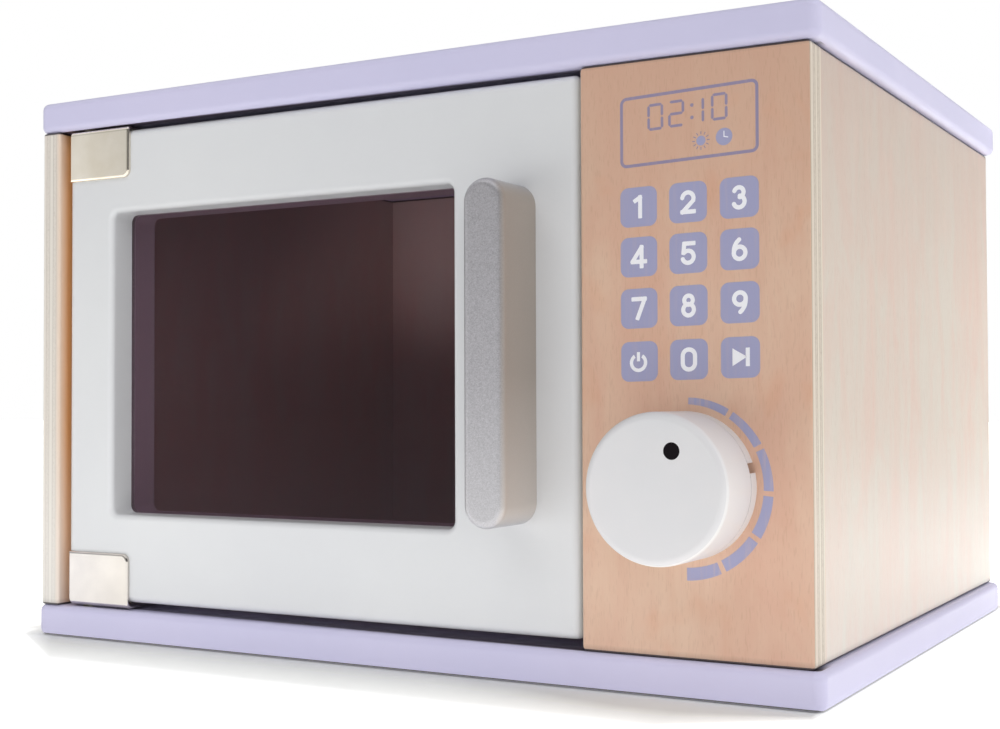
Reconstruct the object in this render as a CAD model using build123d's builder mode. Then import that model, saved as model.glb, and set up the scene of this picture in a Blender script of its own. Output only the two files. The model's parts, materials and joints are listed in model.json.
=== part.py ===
from build123d import *
import os

# A toy microwave oven: two painted boards above and below four plywood walls,
# a thick door on two pivot clips, and a dial that clicks round a toothed base ring.
# Millimetres. X runs along the front, to the right. Y runs from front to back. Z is up.
# The origin is the middle of the bottom board's underside.

# ---- Case ----
case_width = 318
case_depth = 250
case_height = 210
board_thickness = 12
board_corner_radius = 3.5
board_edge_round = 2.6
left_inset = 1.7
right_inset = 3.5
ply_thickness = 9
ply_edge_round = 1.0
ply_setback = 0.5
back_recess = 3.5

# ---- Control panel and the wall behind its free edge ----
control_thickness = 10
control_width = 76
control_setback = 1.5
control_overlap = 0.4
control_corner_radius = 1.6
control_edge_round = 0.9
partition_inset = 1.0

# ---- Door ----
door_setback = 2.7
door_front_layer = 11
door_rear_layer = 13.5
door_gap_hinge = 2.9
door_gap_free = 1.2
door_gap_top = 1.7
door_gap_bottom = 2.9
door_corner_radius = 2.6
door_edge_round = 3.0
door_rear_round = 2.0
window_margin_hinge = 22.8
window_margin_free = 47.4
window_margin_top = 31.7
window_margin_bottom = 33.4
window_corner_radius = 3.0
window_edge_round = 2.2
pane_thickness = 2.0
pane_overlap = 6.0
pane_clearance = 0.15

# ---- Handle ----
handle_width = 15
handle_length = 111
handle_projection = 22
handle_round = 2.4
handle_from_free_edge = 23.1
handle_screw_radius = 2.0
handle_screw_grip = 13
handle_screw_pitch = 80
handle_screw_head_radius = 3.8
handle_screw_head_height = 2.4
handle_screw_head_round = 0.8

# ---- Hinge clips, pins and bushes ----
clip_width = 30.6
clip_height = 20
clip_metal = 1.4
clip_foot = 2.5
clip_bend_round = 0.6
clip_corner_radius = 3.0
clip_edge_round = 1.0
clip_inset = 1.7
hinge_from_edge = 9.5
hinge_from_face = 4.3
pin_radius = 2.0
pin_chamfer = 0.4
pin_in_door = 14
running_clearance = 0.05
press_clearance = 0.02
bush_wall = 1.95
bush_depth = 7.5
bush_well = 8.0
bush_floor = 1.5
clip_screw_radius = 1.5
clip_screw_length = 9
clip_screw_head_radius = 2.8
clip_screw_head_height = 1.6
clip_screw_head_round = 0.8
clip_screw_pitch = 12

# ---- Magnet catch ----
catch_width = 20
catch_height = 40
catch_depth = 16
catch_gap = 0.3
magnet_radius = 5
magnet_thickness = 3
magnet_proud = 0.5
strike_radius = 5.5
strike_thickness = 1.2
strike_screw_radius = 1.4
strike_screw_length = 9
strike_screw_head_radius = 2.6
catch_screw_radius = 1.6
catch_screw_head_radius = 3.2
catch_screw_bite = 7
catch_screw_pitch = 26

# ---- Dial ----
dial_height = 65.2
dial_offset = -2.4
dial_radius = 22.75
base_ring_height = 4.5
base_ring_floor = 1.5
base_bore_clearance = 0.3
base_notch_width = 3.2
base_notch_depth = 2.6
base_notch_wall = 0.6
base_notch_angle = 15
detent_count = 24
detent_radius = 1.2
detent_depth = 0.7
knob_gap = 0.35
knob_length = 19.9
knob_wall = 2.2
knob_front_wall = 2.6
knob_round = 2.4
hub_radius = 6
hub_flat = 5
hub_end_gap = 0.3
knob_rib_count = 6
knob_rib_thickness = 1.4
knob_rib_start = 30
knob_rib_clearance = 1.6
marker_radius = 2.55
marker_depth = 1.2
marker_orbit = 12.7
marker_angle = 63
spindle_radius = 3
spindle_flat = 2.3
spindle_flat_length = 12
spindle_in_knob = 14
dial_bush_wall = 1.5
dial_bush_flange_radius = 7
dial_bush_flange = 1.2
dial_washer_radius = 6
dial_washer_thickness = 0.8
clip_ring_radius = 5.6
clip_ring_thickness = 0.8
clip_ring_mouth = 4.2
spindle_groove_depth = 0.7
spindle_tail = 1.6
pawl_collar_radius = 8.6
pawl_thickness = 2.2
pawl_arm_width = 1.3
pawl_tip_radius = 0.9
pawl_bite = 0.4
pawl_fit = 0.1
base_screw_radius = 1.3
base_screw_head_radius = 2.4
base_screw_length = 9
base_screw_orbit = 12.5
base_screw_angle = 90

# ---- Turntable ----
plate_radius = 76
plate_thickness = 8
plate_rim = 7
plate_dish = 2.5
plate_round = 2.2
plate_bore_clearance = 0.08
table_screw_radius = 2.5
table_screw_bite = 8
table_screw_head_radius = 5
table_screw_head_height = 2.6
table_screw_head_round = 0.9
table_washer_radius = 9
table_washer_thickness = 1.5
table_play = 0.2

# ---- Dowels and case screws ----
dowel_radius = 3
dowel_in_board = 8
dowel_in_panel = 16
panel_dowel_radius = 2.5
panel_dowel_in_control = 6
panel_dowel_in_edge = 12
dowel_end_round = 0.6
case_screw_radius = 2.0
case_screw_head_radius = 4.0
case_screw_head_recess = 0.4
case_screw_bite = 22
case_screw_tip = 1.8
case_screw_tip_taper = 40
countersink_taper = 45
fastener_margin = 28

os.makedirs("parts", exist_ok=True)

# ---- Places worked out from the sizes ----
floor_z = board_thickness
ceiling_z = case_height - board_thickness
wall_height = ceiling_z - floor_z
left_outer = left_inset - case_width / 2
left_inner = left_outer + ply_thickness
left_middle = (left_outer + left_inner) / 2
right_outer = case_width / 2 - right_inset
right_inner = right_outer - ply_thickness
right_middle = (right_outer + right_inner) / 2
ply_front = ply_setback - case_depth / 2
ply_back = case_depth / 2 - ply_setback
control_face = control_setback - case_depth / 2
control_rear = control_face + control_thickness
control_right = right_outer + control_overlap
control_left = control_right - control_width
control_middle = (control_left + control_right) / 2
partition_left = control_left + partition_inset
partition_middle = partition_left + ply_thickness / 2
back_rear = ply_back - back_recess
back_front = back_rear - ply_thickness
back_width = right_inner - left_inner

door_face = door_setback - case_depth / 2
door_seam = door_face + door_front_layer
door_rear = door_seam + door_rear_layer
door_left = left_inner + door_gap_hinge
door_right = control_left - door_gap_free
door_bottom = floor_z + door_gap_bottom
door_top = ceiling_z - door_gap_top
door_depth_middle = (door_face + door_rear) / 2
door_width = door_right - door_left
door_height = door_top - door_bottom
door_middle = ((door_left + door_right) / 2, (door_bottom + door_top) / 2)
window_left = door_left + window_margin_hinge
window_right = door_right - window_margin_free
window_bottom = door_bottom + window_margin_bottom
window_top = door_top - window_margin_top
window_width = window_right - window_left
window_height = window_top - window_bottom
window_middle = ((window_left + window_right) / 2, (window_bottom + window_top) / 2)
handle_middle = (door_right - handle_from_free_edge, window_middle[1])
handle_screw_points = [
    (handle_middle[0], handle_middle[1] + side * handle_screw_pitch / 2) for side in (-1, 1)
]

hinge_x = door_left + hinge_from_edge
hinge_y = door_face + hinge_from_face
hinge_point = (hinge_x, hinge_y)
bush_radius = pin_radius + running_clearance + bush_wall
bush_bore = bush_depth - bush_floor
clip_left = door_left + clip_inset
clip_screw_x = clip_left + clip_width / 2
clip_screw_rows = (door_top - clip_height / 2, door_bottom + clip_height / 2)
clip_screw_points = [
    (clip_screw_x + side * clip_screw_pitch / 2, row) for side in (-1, 1) for row in clip_screw_rows
]

catch_right = partition_left
catch_middle = (catch_right - catch_width / 2, door_middle[1])
catch_magnet_face = door_rear + strike_thickness + catch_gap
catch_front = catch_magnet_face + magnet_proud
catch_screw_points = [
    (catch_front + catch_depth / 2, catch_middle[1] + side * catch_screw_pitch / 2) for side in (-1, 1)
]

dial_middle = (control_middle + dial_offset, dial_height)
cavity_middle = ((partition_left + left_inner) / 2, (back_front + door_rear) / 2)


def front_plane(y):
    """A plane across the object at depth y: its x is to the right, its y up, its z to the front."""
    return Plane(origin=(0, y, 0), x_dir=(1, 0, 0), z_dir=(0, -1, 0))


def dial_plane(height):
    """A plane on the dial's axis, this far in front of the control panel's face."""
    return Plane(
        origin=(dial_middle[0], control_face - height, dial_middle[1]),
        x_dir=(1, 0, 0),
        z_dir=(0, -1, 0),
    )


# Where the fasteners stand along each wall, seen from above
left_rows = (ply_front + fastener_margin, (ply_front + ply_back) / 2, ply_back - fastener_margin)
inner_rows = (
    control_rear + fastener_margin,
    (control_rear + back_front) / 2,
    back_front - fastener_margin,
)
right_rows = (control_rear + fastener_margin, (control_rear + ply_back) / 2, ply_back - fastener_margin)
back_columns = (
    left_inner + fastener_margin,
    (left_inner + right_inner) / 2,
    right_inner - fastener_margin,
)
back_middle = (back_front + back_rear) / 2
wall_points = (
    [(left_middle, row) for row in left_rows]
    + [(right_middle, row) for row in right_rows]
    + [(partition_middle, row) for row in inner_rows]
    + [(column, back_middle) for column in back_columns]
)
left_points = wall_points[0:3]
right_points = wall_points[3:6]
partition_points = wall_points[6:9]
back_points = wall_points[9:12]
control_rows = (
    floor_z + fastener_margin,
    (floor_z + ceiling_z) / 2,
    ceiling_z - fastener_margin,
)
control_points = [(column, row) for column in (partition_middle, right_middle) for row in control_rows]
case_screw_head_top = case_screw_head_recess + case_screw_head_radius - case_screw_radius
case_screw_tip_base = floor_z + case_screw_bite - case_screw_tip

# ---- Top board: painted, rounded all round, with blind holes underneath ----
with BuildPart() as top_board:
    with BuildSketch(Plane.XY.offset(ceiling_z)):
        RectangleRounded(case_width, case_depth, board_corner_radius)
    extrude(amount=board_thickness)
    fillet(top_board.faces().sort_by(Axis.Z)[-1].edges(), board_edge_round)
    fillet(top_board.faces().sort_by(Axis.Z)[0].edges(), board_edge_round)
    with BuildSketch(Plane.XY.offset(ceiling_z)):
        with Locations(*wall_points):
            Circle(dowel_radius)
    extrude(amount=dowel_in_board, mode=Mode.SUBTRACT)
    with BuildSketch(Plane.XY.offset(ceiling_z)):
        with Locations(hinge_point):
            Circle(bush_radius + press_clearance)
    extrude(amount=bush_well, mode=Mode.SUBTRACT)
top_board.part.label = "top_board"
export_step(top_board.part, "parts/top_board.step")

# ---- Bottom board: the same outline, with countersunk screw holes from below ----
with BuildPart() as bottom_board:
    with BuildSketch():
        RectangleRounded(case_width, case_depth, board_corner_radius)
    extrude(amount=board_thickness)
    fillet(bottom_board.faces().sort_by(Axis.Z)[-1].edges(), board_edge_round)
    fillet(bottom_board.faces().sort_by(Axis.Z)[0].edges(), board_edge_round)
    with BuildSketch():
        with Locations(*wall_points):
            Circle(case_screw_radius + press_clearance)
    extrude(amount=board_thickness, mode=Mode.SUBTRACT)
    with BuildSketch():
        with Locations(*wall_points):
            Circle(case_screw_head_radius)
    extrude(amount=case_screw_head_recess, mode=Mode.SUBTRACT)
    with BuildSketch(Plane.XY.offset(case_screw_head_recess)):
        with Locations(*wall_points):
            Circle(case_screw_head_radius)
    extrude(amount=case_screw_head_radius - case_screw_radius, taper=countersink_taper, mode=Mode.SUBTRACT)
    with BuildSketch(Plane.XY.offset(floor_z)):
        with Locations(hinge_point):
            Circle(bush_radius + press_clearance)
    extrude(amount=-bush_well, mode=Mode.SUBTRACT)
    with BuildSketch(Plane.XY.offset(floor_z)):
        with Locations(cavity_middle):
            Circle(table_screw_radius + press_clearance)
    extrude(amount=-table_screw_bite, mode=Mode.SUBTRACT)
bottom_board.part.label = "bottom_board"
export_step(bottom_board.part, "parts/bottom_board.step")

def drill_wall_ends(points):
    """Dowel holes in a wall's top end and pilot holes in its bottom end."""
    with BuildSketch(Plane.XY.offset(ceiling_z)) as dowel_holes:
        with Locations(*points):
            Circle(dowel_radius)
    extrude(dowel_holes.sketch, amount=-dowel_in_panel, mode=Mode.SUBTRACT)
    with BuildSketch(Plane.XY.offset(floor_z)) as pilot_holes:
        with Locations(*points):
            Circle(case_screw_radius + press_clearance)
    extrude(pilot_holes.sketch, amount=case_screw_bite, mode=Mode.SUBTRACT)


def drill_front_edge(column):
    """Dowel holes in a wall's front edge, for the control panel."""
    with BuildSketch(front_plane(control_rear)) as edge_holes:
        with Locations(*[(column, row) for row in control_rows]):
            Circle(panel_dowel_radius)
    extrude(edge_holes.sketch, amount=-panel_dowel_in_edge, mode=Mode.SUBTRACT)


# ---- Left side panel: full depth, its front edge in view beside the door ----
with BuildPart() as left_side_panel:
    with BuildSketch(Plane.XY.offset(floor_z)):
        with Locations((left_middle, (ply_front + ply_back) / 2)):
            Rectangle(ply_thickness, ply_back - ply_front)
    extrude(amount=wall_height)
    fillet(left_side_panel.edges(), ply_edge_round)
    drill_wall_ends(left_points)
left_side_panel.part.label = "left_side_panel"
export_step(left_side_panel.part, "parts/left_side_panel.step")

# ---- Right side panel: stands behind the control panel ----
with BuildPart() as right_side_panel:
    with BuildSketch(Plane.XY.offset(floor_z)):
        with Locations((right_middle, (control_rear + ply_back) / 2)):
            Rectangle(ply_thickness, ply_back - control_rear)
    extrude(amount=wall_height)
    fillet(right_side_panel.edges(), ply_edge_round)
    drill_wall_ends(right_points)
    drill_front_edge(right_middle)
right_side_panel.part.label = "right_side_panel"
export_step(right_side_panel.part, "parts/right_side_panel.step")

# ---- Partition between the cavity and the space behind the controls ----
with BuildPart() as partition:
    with BuildSketch(Plane.XY.offset(floor_z)):
        with Locations((partition_middle, (control_rear + back_front) / 2)):
            Rectangle(ply_thickness, back_front - control_rear)
    extrude(amount=wall_height)
    drill_wall_ends(partition_points)
    drill_front_edge(partition_middle)
    with BuildSketch(Plane.YZ.offset(catch_right)):
        with Locations(*catch_screw_points):
            Circle(catch_screw_radius + press_clearance)
    extrude(amount=catch_screw_bite, mode=Mode.SUBTRACT)
partition.part.label = "partition"
export_step(partition.part, "parts/partition.step")

# ---- Back panel: between the side panels, set in from their back edges ----
with BuildPart() as back_panel:
    with BuildSketch(Plane.XY.offset(floor_z)):
        with Locations(((left_inner + right_inner) / 2, back_middle)):
            Rectangle(back_width, ply_thickness)
    extrude(amount=wall_height)
    drill_wall_ends(back_points)
back_panel.part.label = "back_panel"
export_step(back_panel.part, "parts/back_panel.step")

# ---- Control panel: plywood front with the dial's bearing hole ----
with BuildPart() as control_panel:
    with BuildSketch(front_plane(control_rear)):
        with Locations((control_middle, (floor_z + ceiling_z) / 2)):
            RectangleRounded(control_width, wall_height, control_corner_radius)
    extrude(amount=control_thickness)
    fillet(control_panel.faces().sort_by(Axis.Y)[0].edges(), control_edge_round)
    with BuildSketch(front_plane(control_rear)):
        with Locations(*control_points):
            Circle(panel_dowel_radius)
    extrude(amount=panel_dowel_in_control, mode=Mode.SUBTRACT)
    with BuildSketch(front_plane(control_rear)):
        with Locations(dial_middle):
            Circle(spindle_radius + running_clearance + dial_bush_wall + press_clearance)
    extrude(amount=control_thickness, mode=Mode.SUBTRACT)
    with BuildSketch(dial_plane(0)):
        with PolarLocations(base_screw_orbit, 2, start_angle=base_screw_angle):
            Circle(base_screw_radius + press_clearance)
    extrude(amount=base_ring_floor - base_screw_length, mode=Mode.SUBTRACT)
control_panel.part.label = "control_panel"
export_step(control_panel.part, "parts/control_panel.step")

# ---- Case fasteners ----
with BuildPart() as top_dowels:
    with BuildSketch(Plane.XY.offset(ceiling_z - dowel_in_panel)):
        with Locations(*wall_points):
            Circle(dowel_radius)
    extrude(amount=dowel_in_panel + dowel_in_board)
    chamfer(top_dowels.edges().filter_by(GeomType.CIRCLE), dowel_end_round)
top_dowels.part.label = "top_dowels"
export_step(top_dowels.part, "parts/top_dowels.step")

with BuildPart() as control_dowels:
    with BuildSketch(front_plane(control_rear + panel_dowel_in_edge)):
        with Locations(*control_points):
            Circle(panel_dowel_radius)
    extrude(amount=panel_dowel_in_edge + panel_dowel_in_control)
    chamfer(control_dowels.edges().filter_by(GeomType.CIRCLE), dowel_end_round)
control_dowels.part.label = "control_dowels"
export_step(control_dowels.part, "parts/control_dowels.step")

with BuildPart() as case_screws:
    with BuildSketch(Plane.XY.offset(case_screw_head_recess)):
        with Locations(*wall_points):
            Circle(case_screw_head_radius)
    extrude(amount=case_screw_head_radius - case_screw_radius, taper=countersink_taper)
    with BuildSketch(Plane.XY.offset(case_screw_head_top)):
        with Locations(*wall_points):
            Circle(case_screw_radius)
    extrude(amount=case_screw_tip_base - case_screw_head_top)
    with BuildSketch(Plane.XY.offset(case_screw_tip_base)):
        with Locations(*wall_points):
            Circle(case_screw_radius)
    extrude(amount=case_screw_tip, taper=case_screw_tip_taper)
case_screws.part.label = "case_screws"
export_step(case_screws.part, "parts/case_screws.step")

# ---- Door: two painted layers with the window between them ----
with BuildPart() as door_front_board:
    with BuildSketch(front_plane(door_seam)):
        with Locations(door_middle):
            RectangleRounded(door_width, door_height, door_corner_radius)
    extrude(amount=door_front_layer)
    fillet(door_front_board.faces().sort_by(Axis.Y)[0].edges(), door_edge_round)
    with BuildSketch(front_plane(door_seam)):
        with Locations(window_middle):
            RectangleRounded(window_width, window_height, window_corner_radius)
    extrude(amount=door_front_layer, mode=Mode.SUBTRACT)
    fillet(
        door_front_board.faces().sort_by(Axis.Y)[0].inner_wires().edges(),
        window_edge_round,
    )
    with BuildSketch(front_plane(door_seam)):
        with Locations(*handle_screw_points):
            Circle(handle_screw_radius + press_clearance)
    extrude(amount=door_front_layer, mode=Mode.SUBTRACT)
    with BuildSketch(Plane.XY.offset(door_top)):
        with Locations(hinge_point):
            Circle(pin_radius + press_clearance)
    extrude(amount=-pin_in_door, mode=Mode.SUBTRACT)
    with BuildSketch(Plane.XY.offset(door_bottom)):
        with Locations(hinge_point):
            Circle(pin_radius + press_clearance)
    extrude(amount=pin_in_door, mode=Mode.SUBTRACT)
door_front_board.part.label = "door_front_board"
export_step(door_front_board.part, "parts/door_front_board.step")

with BuildPart() as door_rear_board:
    with BuildSketch(front_plane(door_rear)):
        with Locations(door_middle):
            RectangleRounded(door_width, door_height, door_corner_radius)
    extrude(amount=door_rear_layer)
    fillet(door_rear_board.faces().sort_by(Axis.Y)[-1].edges(), door_rear_round)
    with BuildSketch(front_plane(door_rear)):
        with Locations(window_middle):
            RectangleRounded(window_width, window_height, window_corner_radius)
    extrude(amount=door_rear_layer, mode=Mode.SUBTRACT)
    fillet(
        door_rear_board.faces().sort_by(Axis.Y)[-1].inner_wires().edges(),
        door_rear_round / 2,
    )
    with BuildSketch(front_plane(door_seam)):
        with Locations(window_middle):
            RectangleRounded(
                window_width + 2 * (pane_overlap + pane_clearance),
                window_height + 2 * (pane_overlap + pane_clearance),
                window_corner_radius,
            )
    extrude(amount=-pane_thickness, mode=Mode.SUBTRACT)
    with BuildSketch(front_plane(door_rear)):
        with Locations(*handle_screw_points):
            Circle(handle_screw_radius + press_clearance)
    extrude(amount=door_rear_layer, mode=Mode.SUBTRACT)
    with BuildSketch(front_plane(door_rear)):
        with Locations(*handle_screw_points):
            Circle(handle_screw_head_radius + press_clearance)
    extrude(amount=handle_screw_head_height, mode=Mode.SUBTRACT)
    with BuildSketch(front_plane(door_rear)):
        with Locations(*clip_screw_points):
            Circle(clip_screw_radius + press_clearance)
    extrude(amount=clip_screw_length, mode=Mode.SUBTRACT)
    with BuildSketch(front_plane(door_rear)):
        with Locations(catch_middle):
            Circle(strike_screw_radius + press_clearance)
    extrude(amount=strike_screw_length, mode=Mode.SUBTRACT)
door_rear_board.part.label = "door_rear_board"
export_step(door_rear_board.part, "parts/door_rear_board.step")

with BuildPart() as window_pane:
    with BuildSketch(front_plane(door_seam)):
        with Locations(window_middle):
            RectangleRounded(
                window_width + 2 * pane_overlap,
                window_height + 2 * pane_overlap,
                window_corner_radius - pane_clearance,
            )
    extrude(amount=-pane_thickness)
window_pane.part.label = "window_pane"
export_step(window_pane.part, "parts/window_pane.step")

# ---- Handle: a solid bar with round ends, screwed on through the door ----
with BuildPart() as door_handle:
    with BuildSketch(front_plane(door_face)):
        with Locations(handle_middle):
            SlotOverall(handle_length, handle_width, rotation=90)
    extrude(amount=handle_projection)
    fillet(door_handle.faces().sort_by(Axis.Y)[0].edges(), handle_round)
    with BuildSketch(front_plane(door_face)):
        with Locations(*handle_screw_points):
            Circle(handle_screw_radius + press_clearance)
    extrude(amount=handle_screw_grip, mode=Mode.SUBTRACT)
door_handle.part.label = "door_handle"
export_step(door_handle.part, "parts/door_handle.step")

with BuildPart() as handle_screws:
    with BuildSketch(front_plane(door_rear)):
        with Locations(*handle_screw_points):
            Circle(handle_screw_radius)
    extrude(amount=door_rear - door_face + handle_screw_grip - press_clearance)
    with BuildSketch(front_plane(door_rear)):
        with Locations(*handle_screw_points):
            Circle(handle_screw_head_radius)
    extrude(amount=handle_screw_head_height)
    fillet(
        handle_screws.faces().group_by(Axis.Y)[-1].edges(),
        handle_screw_head_round,
    )
handle_screws.part.label = "handle_screws"
export_step(handle_screws.part, "parts/handle_screws.step")

# ---- Hinge clips: a cast cap over each hinge-side corner of the door ----
def hinge_clip(foot):
    """A cap over the door's upper corner. The foot is its thickness between the door and the board."""
    with BuildPart() as clip:
        with BuildSketch(Plane.YZ.offset(clip_left)):
            with Locations((door_depth_middle, door_top + foot)):
                Rectangle(
                    door_rear - door_face + 2 * clip_metal,
                    clip_height + foot - clip_metal,
                    align=(Align.CENTER, Align.MAX),
                )
            with Locations((door_depth_middle, door_top)):
                Rectangle(
                    door_rear - door_face,
                    clip_height,
                    align=(Align.CENTER, Align.MAX),
                    mode=Mode.SUBTRACT,
                )
        extrude(amount=clip_width)
        fillet(
            clip.edges().filter_by(Axis.X).group_by(Axis.Z)[-1],
            foot + clip_bend_round,
        )
        fillet(
            clip.edges().filter_by(Axis.Y).group_by(Axis.Z)[0].group_by(Axis.X)[-1],
            clip_corner_radius,
        )
        fillet(
            clip.faces().sort_by(Axis.Y)[0].edges(),
            clip_edge_round,
        )
        with BuildSketch(Plane.XY.offset(door_top)):
            with Locations(hinge_point):
                Circle(pin_radius + press_clearance)
        extrude(amount=foot, mode=Mode.SUBTRACT)
        with BuildSketch(front_plane(door_rear)):
            with Locations((clip_screw_x, clip_screw_rows[0])):
                with GridLocations(clip_screw_pitch, 0, 2, 1):
                    Circle(clip_screw_radius + press_clearance)
        extrude(amount=-clip_metal, mode=Mode.SUBTRACT)
    return clip.part


with BuildPart() as hinge_clip_top:
    add(hinge_clip(clip_metal))
hinge_clip_top.part.label = "hinge_clip_top"
export_step(hinge_clip_top.part, "parts/hinge_clip_top.step")

door_middle_plane = Plane.XY.offset(door_middle[1])
with BuildPart() as hinge_clip_bottom:
    mirror(hinge_clip(clip_foot), about=door_middle_plane)
hinge_clip_bottom.part.label = "hinge_clip_bottom"
export_step(hinge_clip_bottom.part, "parts/hinge_clip_bottom.step")

with BuildPart() as hinge_clip_screws:
    with BuildSketch(front_plane(door_rear + clip_metal)):
        with Locations(*clip_screw_points):
            Circle(clip_screw_radius)
    extrude(amount=clip_metal + clip_screw_length)
    with BuildSketch(front_plane(door_rear + clip_metal)):
        with Locations(*clip_screw_points):
            Circle(clip_screw_head_radius)
    extrude(amount=-clip_screw_head_height)
    fillet(
        hinge_clip_screws.faces().group_by(Axis.Y)[-1].edges(),
        clip_screw_head_round,
    )
hinge_clip_screws.part.label = "hinge_clip_screws"
export_step(hinge_clip_screws.part, "parts/hinge_clip_screws.step")

with BuildPart() as hinge_pin_top:
    with BuildSketch(Plane.XY.offset(door_top - pin_in_door)):
        with Locations(hinge_point):
            Circle(pin_radius)
    extrude(amount=pin_in_door + door_gap_top + bush_depth - running_clearance)
    chamfer(hinge_pin_top.edges().filter_by(GeomType.CIRCLE), pin_chamfer)
hinge_pin_top.part.label = "hinge_pin_top"
export_step(hinge_pin_top.part, "parts/hinge_pin_top.step")

with BuildPart() as hinge_pin_bottom:
    with BuildSketch(Plane.XY.offset(door_bottom + pin_in_door)):
        with Locations(hinge_point):
            Circle(pin_radius)
    extrude(amount=-(pin_in_door + door_gap_bottom + bush_bore - running_clearance))
    chamfer(hinge_pin_bottom.edges().filter_by(GeomType.CIRCLE), pin_chamfer)
hinge_pin_bottom.part.label = "hinge_pin_bottom"
export_step(hinge_pin_bottom.part, "parts/hinge_pin_bottom.step")

with BuildPart() as hinge_bush_top:
    with BuildSketch(Plane.XY.offset(ceiling_z)):
        with Locations(hinge_point):
            Circle(bush_radius)
            Circle(pin_radius + running_clearance, mode=Mode.SUBTRACT)
    extrude(amount=bush_depth)
hinge_bush_top.part.label = "hinge_bush_top"
export_step(hinge_bush_top.part, "parts/hinge_bush_top.step")

with BuildPart() as hinge_bush_bottom:
    with BuildSketch(Plane.XY.offset(floor_z)):
        with Locations(hinge_point):
            Circle(bush_radius)
    extrude(amount=-bush_depth)
    with BuildSketch(Plane.XY.offset(floor_z)):
        with Locations(hinge_point):
            Circle(pin_radius + running_clearance)
    extrude(amount=-bush_bore, mode=Mode.SUBTRACT)
hinge_bush_bottom.part.label = "hinge_bush_bottom"
export_step(hinge_bush_bottom.part, "parts/hinge_bush_bottom.step")

# ---- Magnet catch: a block on the partition, a strike plate on the door ----
with BuildPart() as catch_block:
    with BuildSketch(Plane.XY.offset(catch_middle[1] - catch_height / 2)):
        with Locations((catch_middle[0], catch_front + catch_depth / 2)):
            Rectangle(catch_width, catch_depth)
    extrude(amount=catch_height)
    chamfer(catch_block.faces().sort_by(Axis.X)[0].edges(), ply_edge_round)
    with BuildSketch(front_plane(catch_front)):
        with Locations(catch_middle):
            Circle(magnet_radius + press_clearance)
    extrude(amount=magnet_proud - magnet_thickness, mode=Mode.SUBTRACT)
    with BuildSketch(Plane.YZ.offset(catch_right - catch_width)):
        with Locations(*catch_screw_points):
            Circle(catch_screw_head_radius)
    extrude(amount=catch_screw_head_radius - catch_screw_radius, taper=countersink_taper, mode=Mode.SUBTRACT)
    with BuildSketch(Plane.YZ.offset(catch_right - catch_width)):
        with Locations(*catch_screw_points):
            Circle(catch_screw_radius + press_clearance)
    extrude(amount=catch_width, mode=Mode.SUBTRACT)
catch_block.part.label = "catch_block"
export_step(catch_block.part, "parts/catch_block.step")

with BuildPart() as catch_screws:
    with BuildSketch(Plane.YZ.offset(catch_right - catch_width)):
        with Locations(*catch_screw_points):
            Circle(catch_screw_head_radius)
    extrude(amount=catch_screw_head_radius - catch_screw_radius, taper=countersink_taper)
    with BuildSketch(Plane.YZ.offset(catch_right - catch_width)):
        with Locations(*catch_screw_points):
            Circle(catch_screw_radius)
    extrude(amount=catch_width + catch_screw_bite - press_clearance)
catch_screws.part.label = "catch_screws"
export_step(catch_screws.part, "parts/catch_screws.step")

with BuildPart() as catch_magnet:
    with BuildSketch(front_plane(catch_magnet_face + magnet_thickness)):
        with Locations(catch_middle):
            Circle(magnet_radius)
    extrude(amount=magnet_thickness)
    chamfer(catch_magnet.edges().filter_by(GeomType.CIRCLE), magnet_proud / 2)
catch_magnet.part.label = "catch_magnet"
export_step(catch_magnet.part, "parts/catch_magnet.step")

strike_sink = strike_screw_head_radius - strike_screw_radius
with BuildPart() as strike_plate:
    with BuildSketch(front_plane(door_rear)):
        with Locations(catch_middle):
            Circle(strike_radius)
    extrude(amount=-strike_thickness)
    with BuildSketch(front_plane(door_rear + strike_thickness)):
        with Locations(catch_middle):
            Circle(strike_screw_head_radius)
    extrude(amount=strike_sink, taper=countersink_taper, mode=Mode.SUBTRACT)
strike_plate.part.label = "strike_plate"
export_step(strike_plate.part, "parts/strike_plate.step")

with BuildPart() as strike_screw:
    with BuildSketch(front_plane(door_rear + strike_thickness)):
        with Locations(catch_middle):
            Circle(strike_screw_head_radius)
    extrude(amount=strike_sink, taper=countersink_taper)
    with BuildSketch(front_plane(door_rear + strike_thickness)):
        with Locations(catch_middle):
            Circle(strike_screw_radius)
    extrude(amount=strike_thickness + strike_screw_length)
strike_screw.part.label = "strike_screw"
export_step(strike_screw.part, "parts/strike_screw.step")

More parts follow.
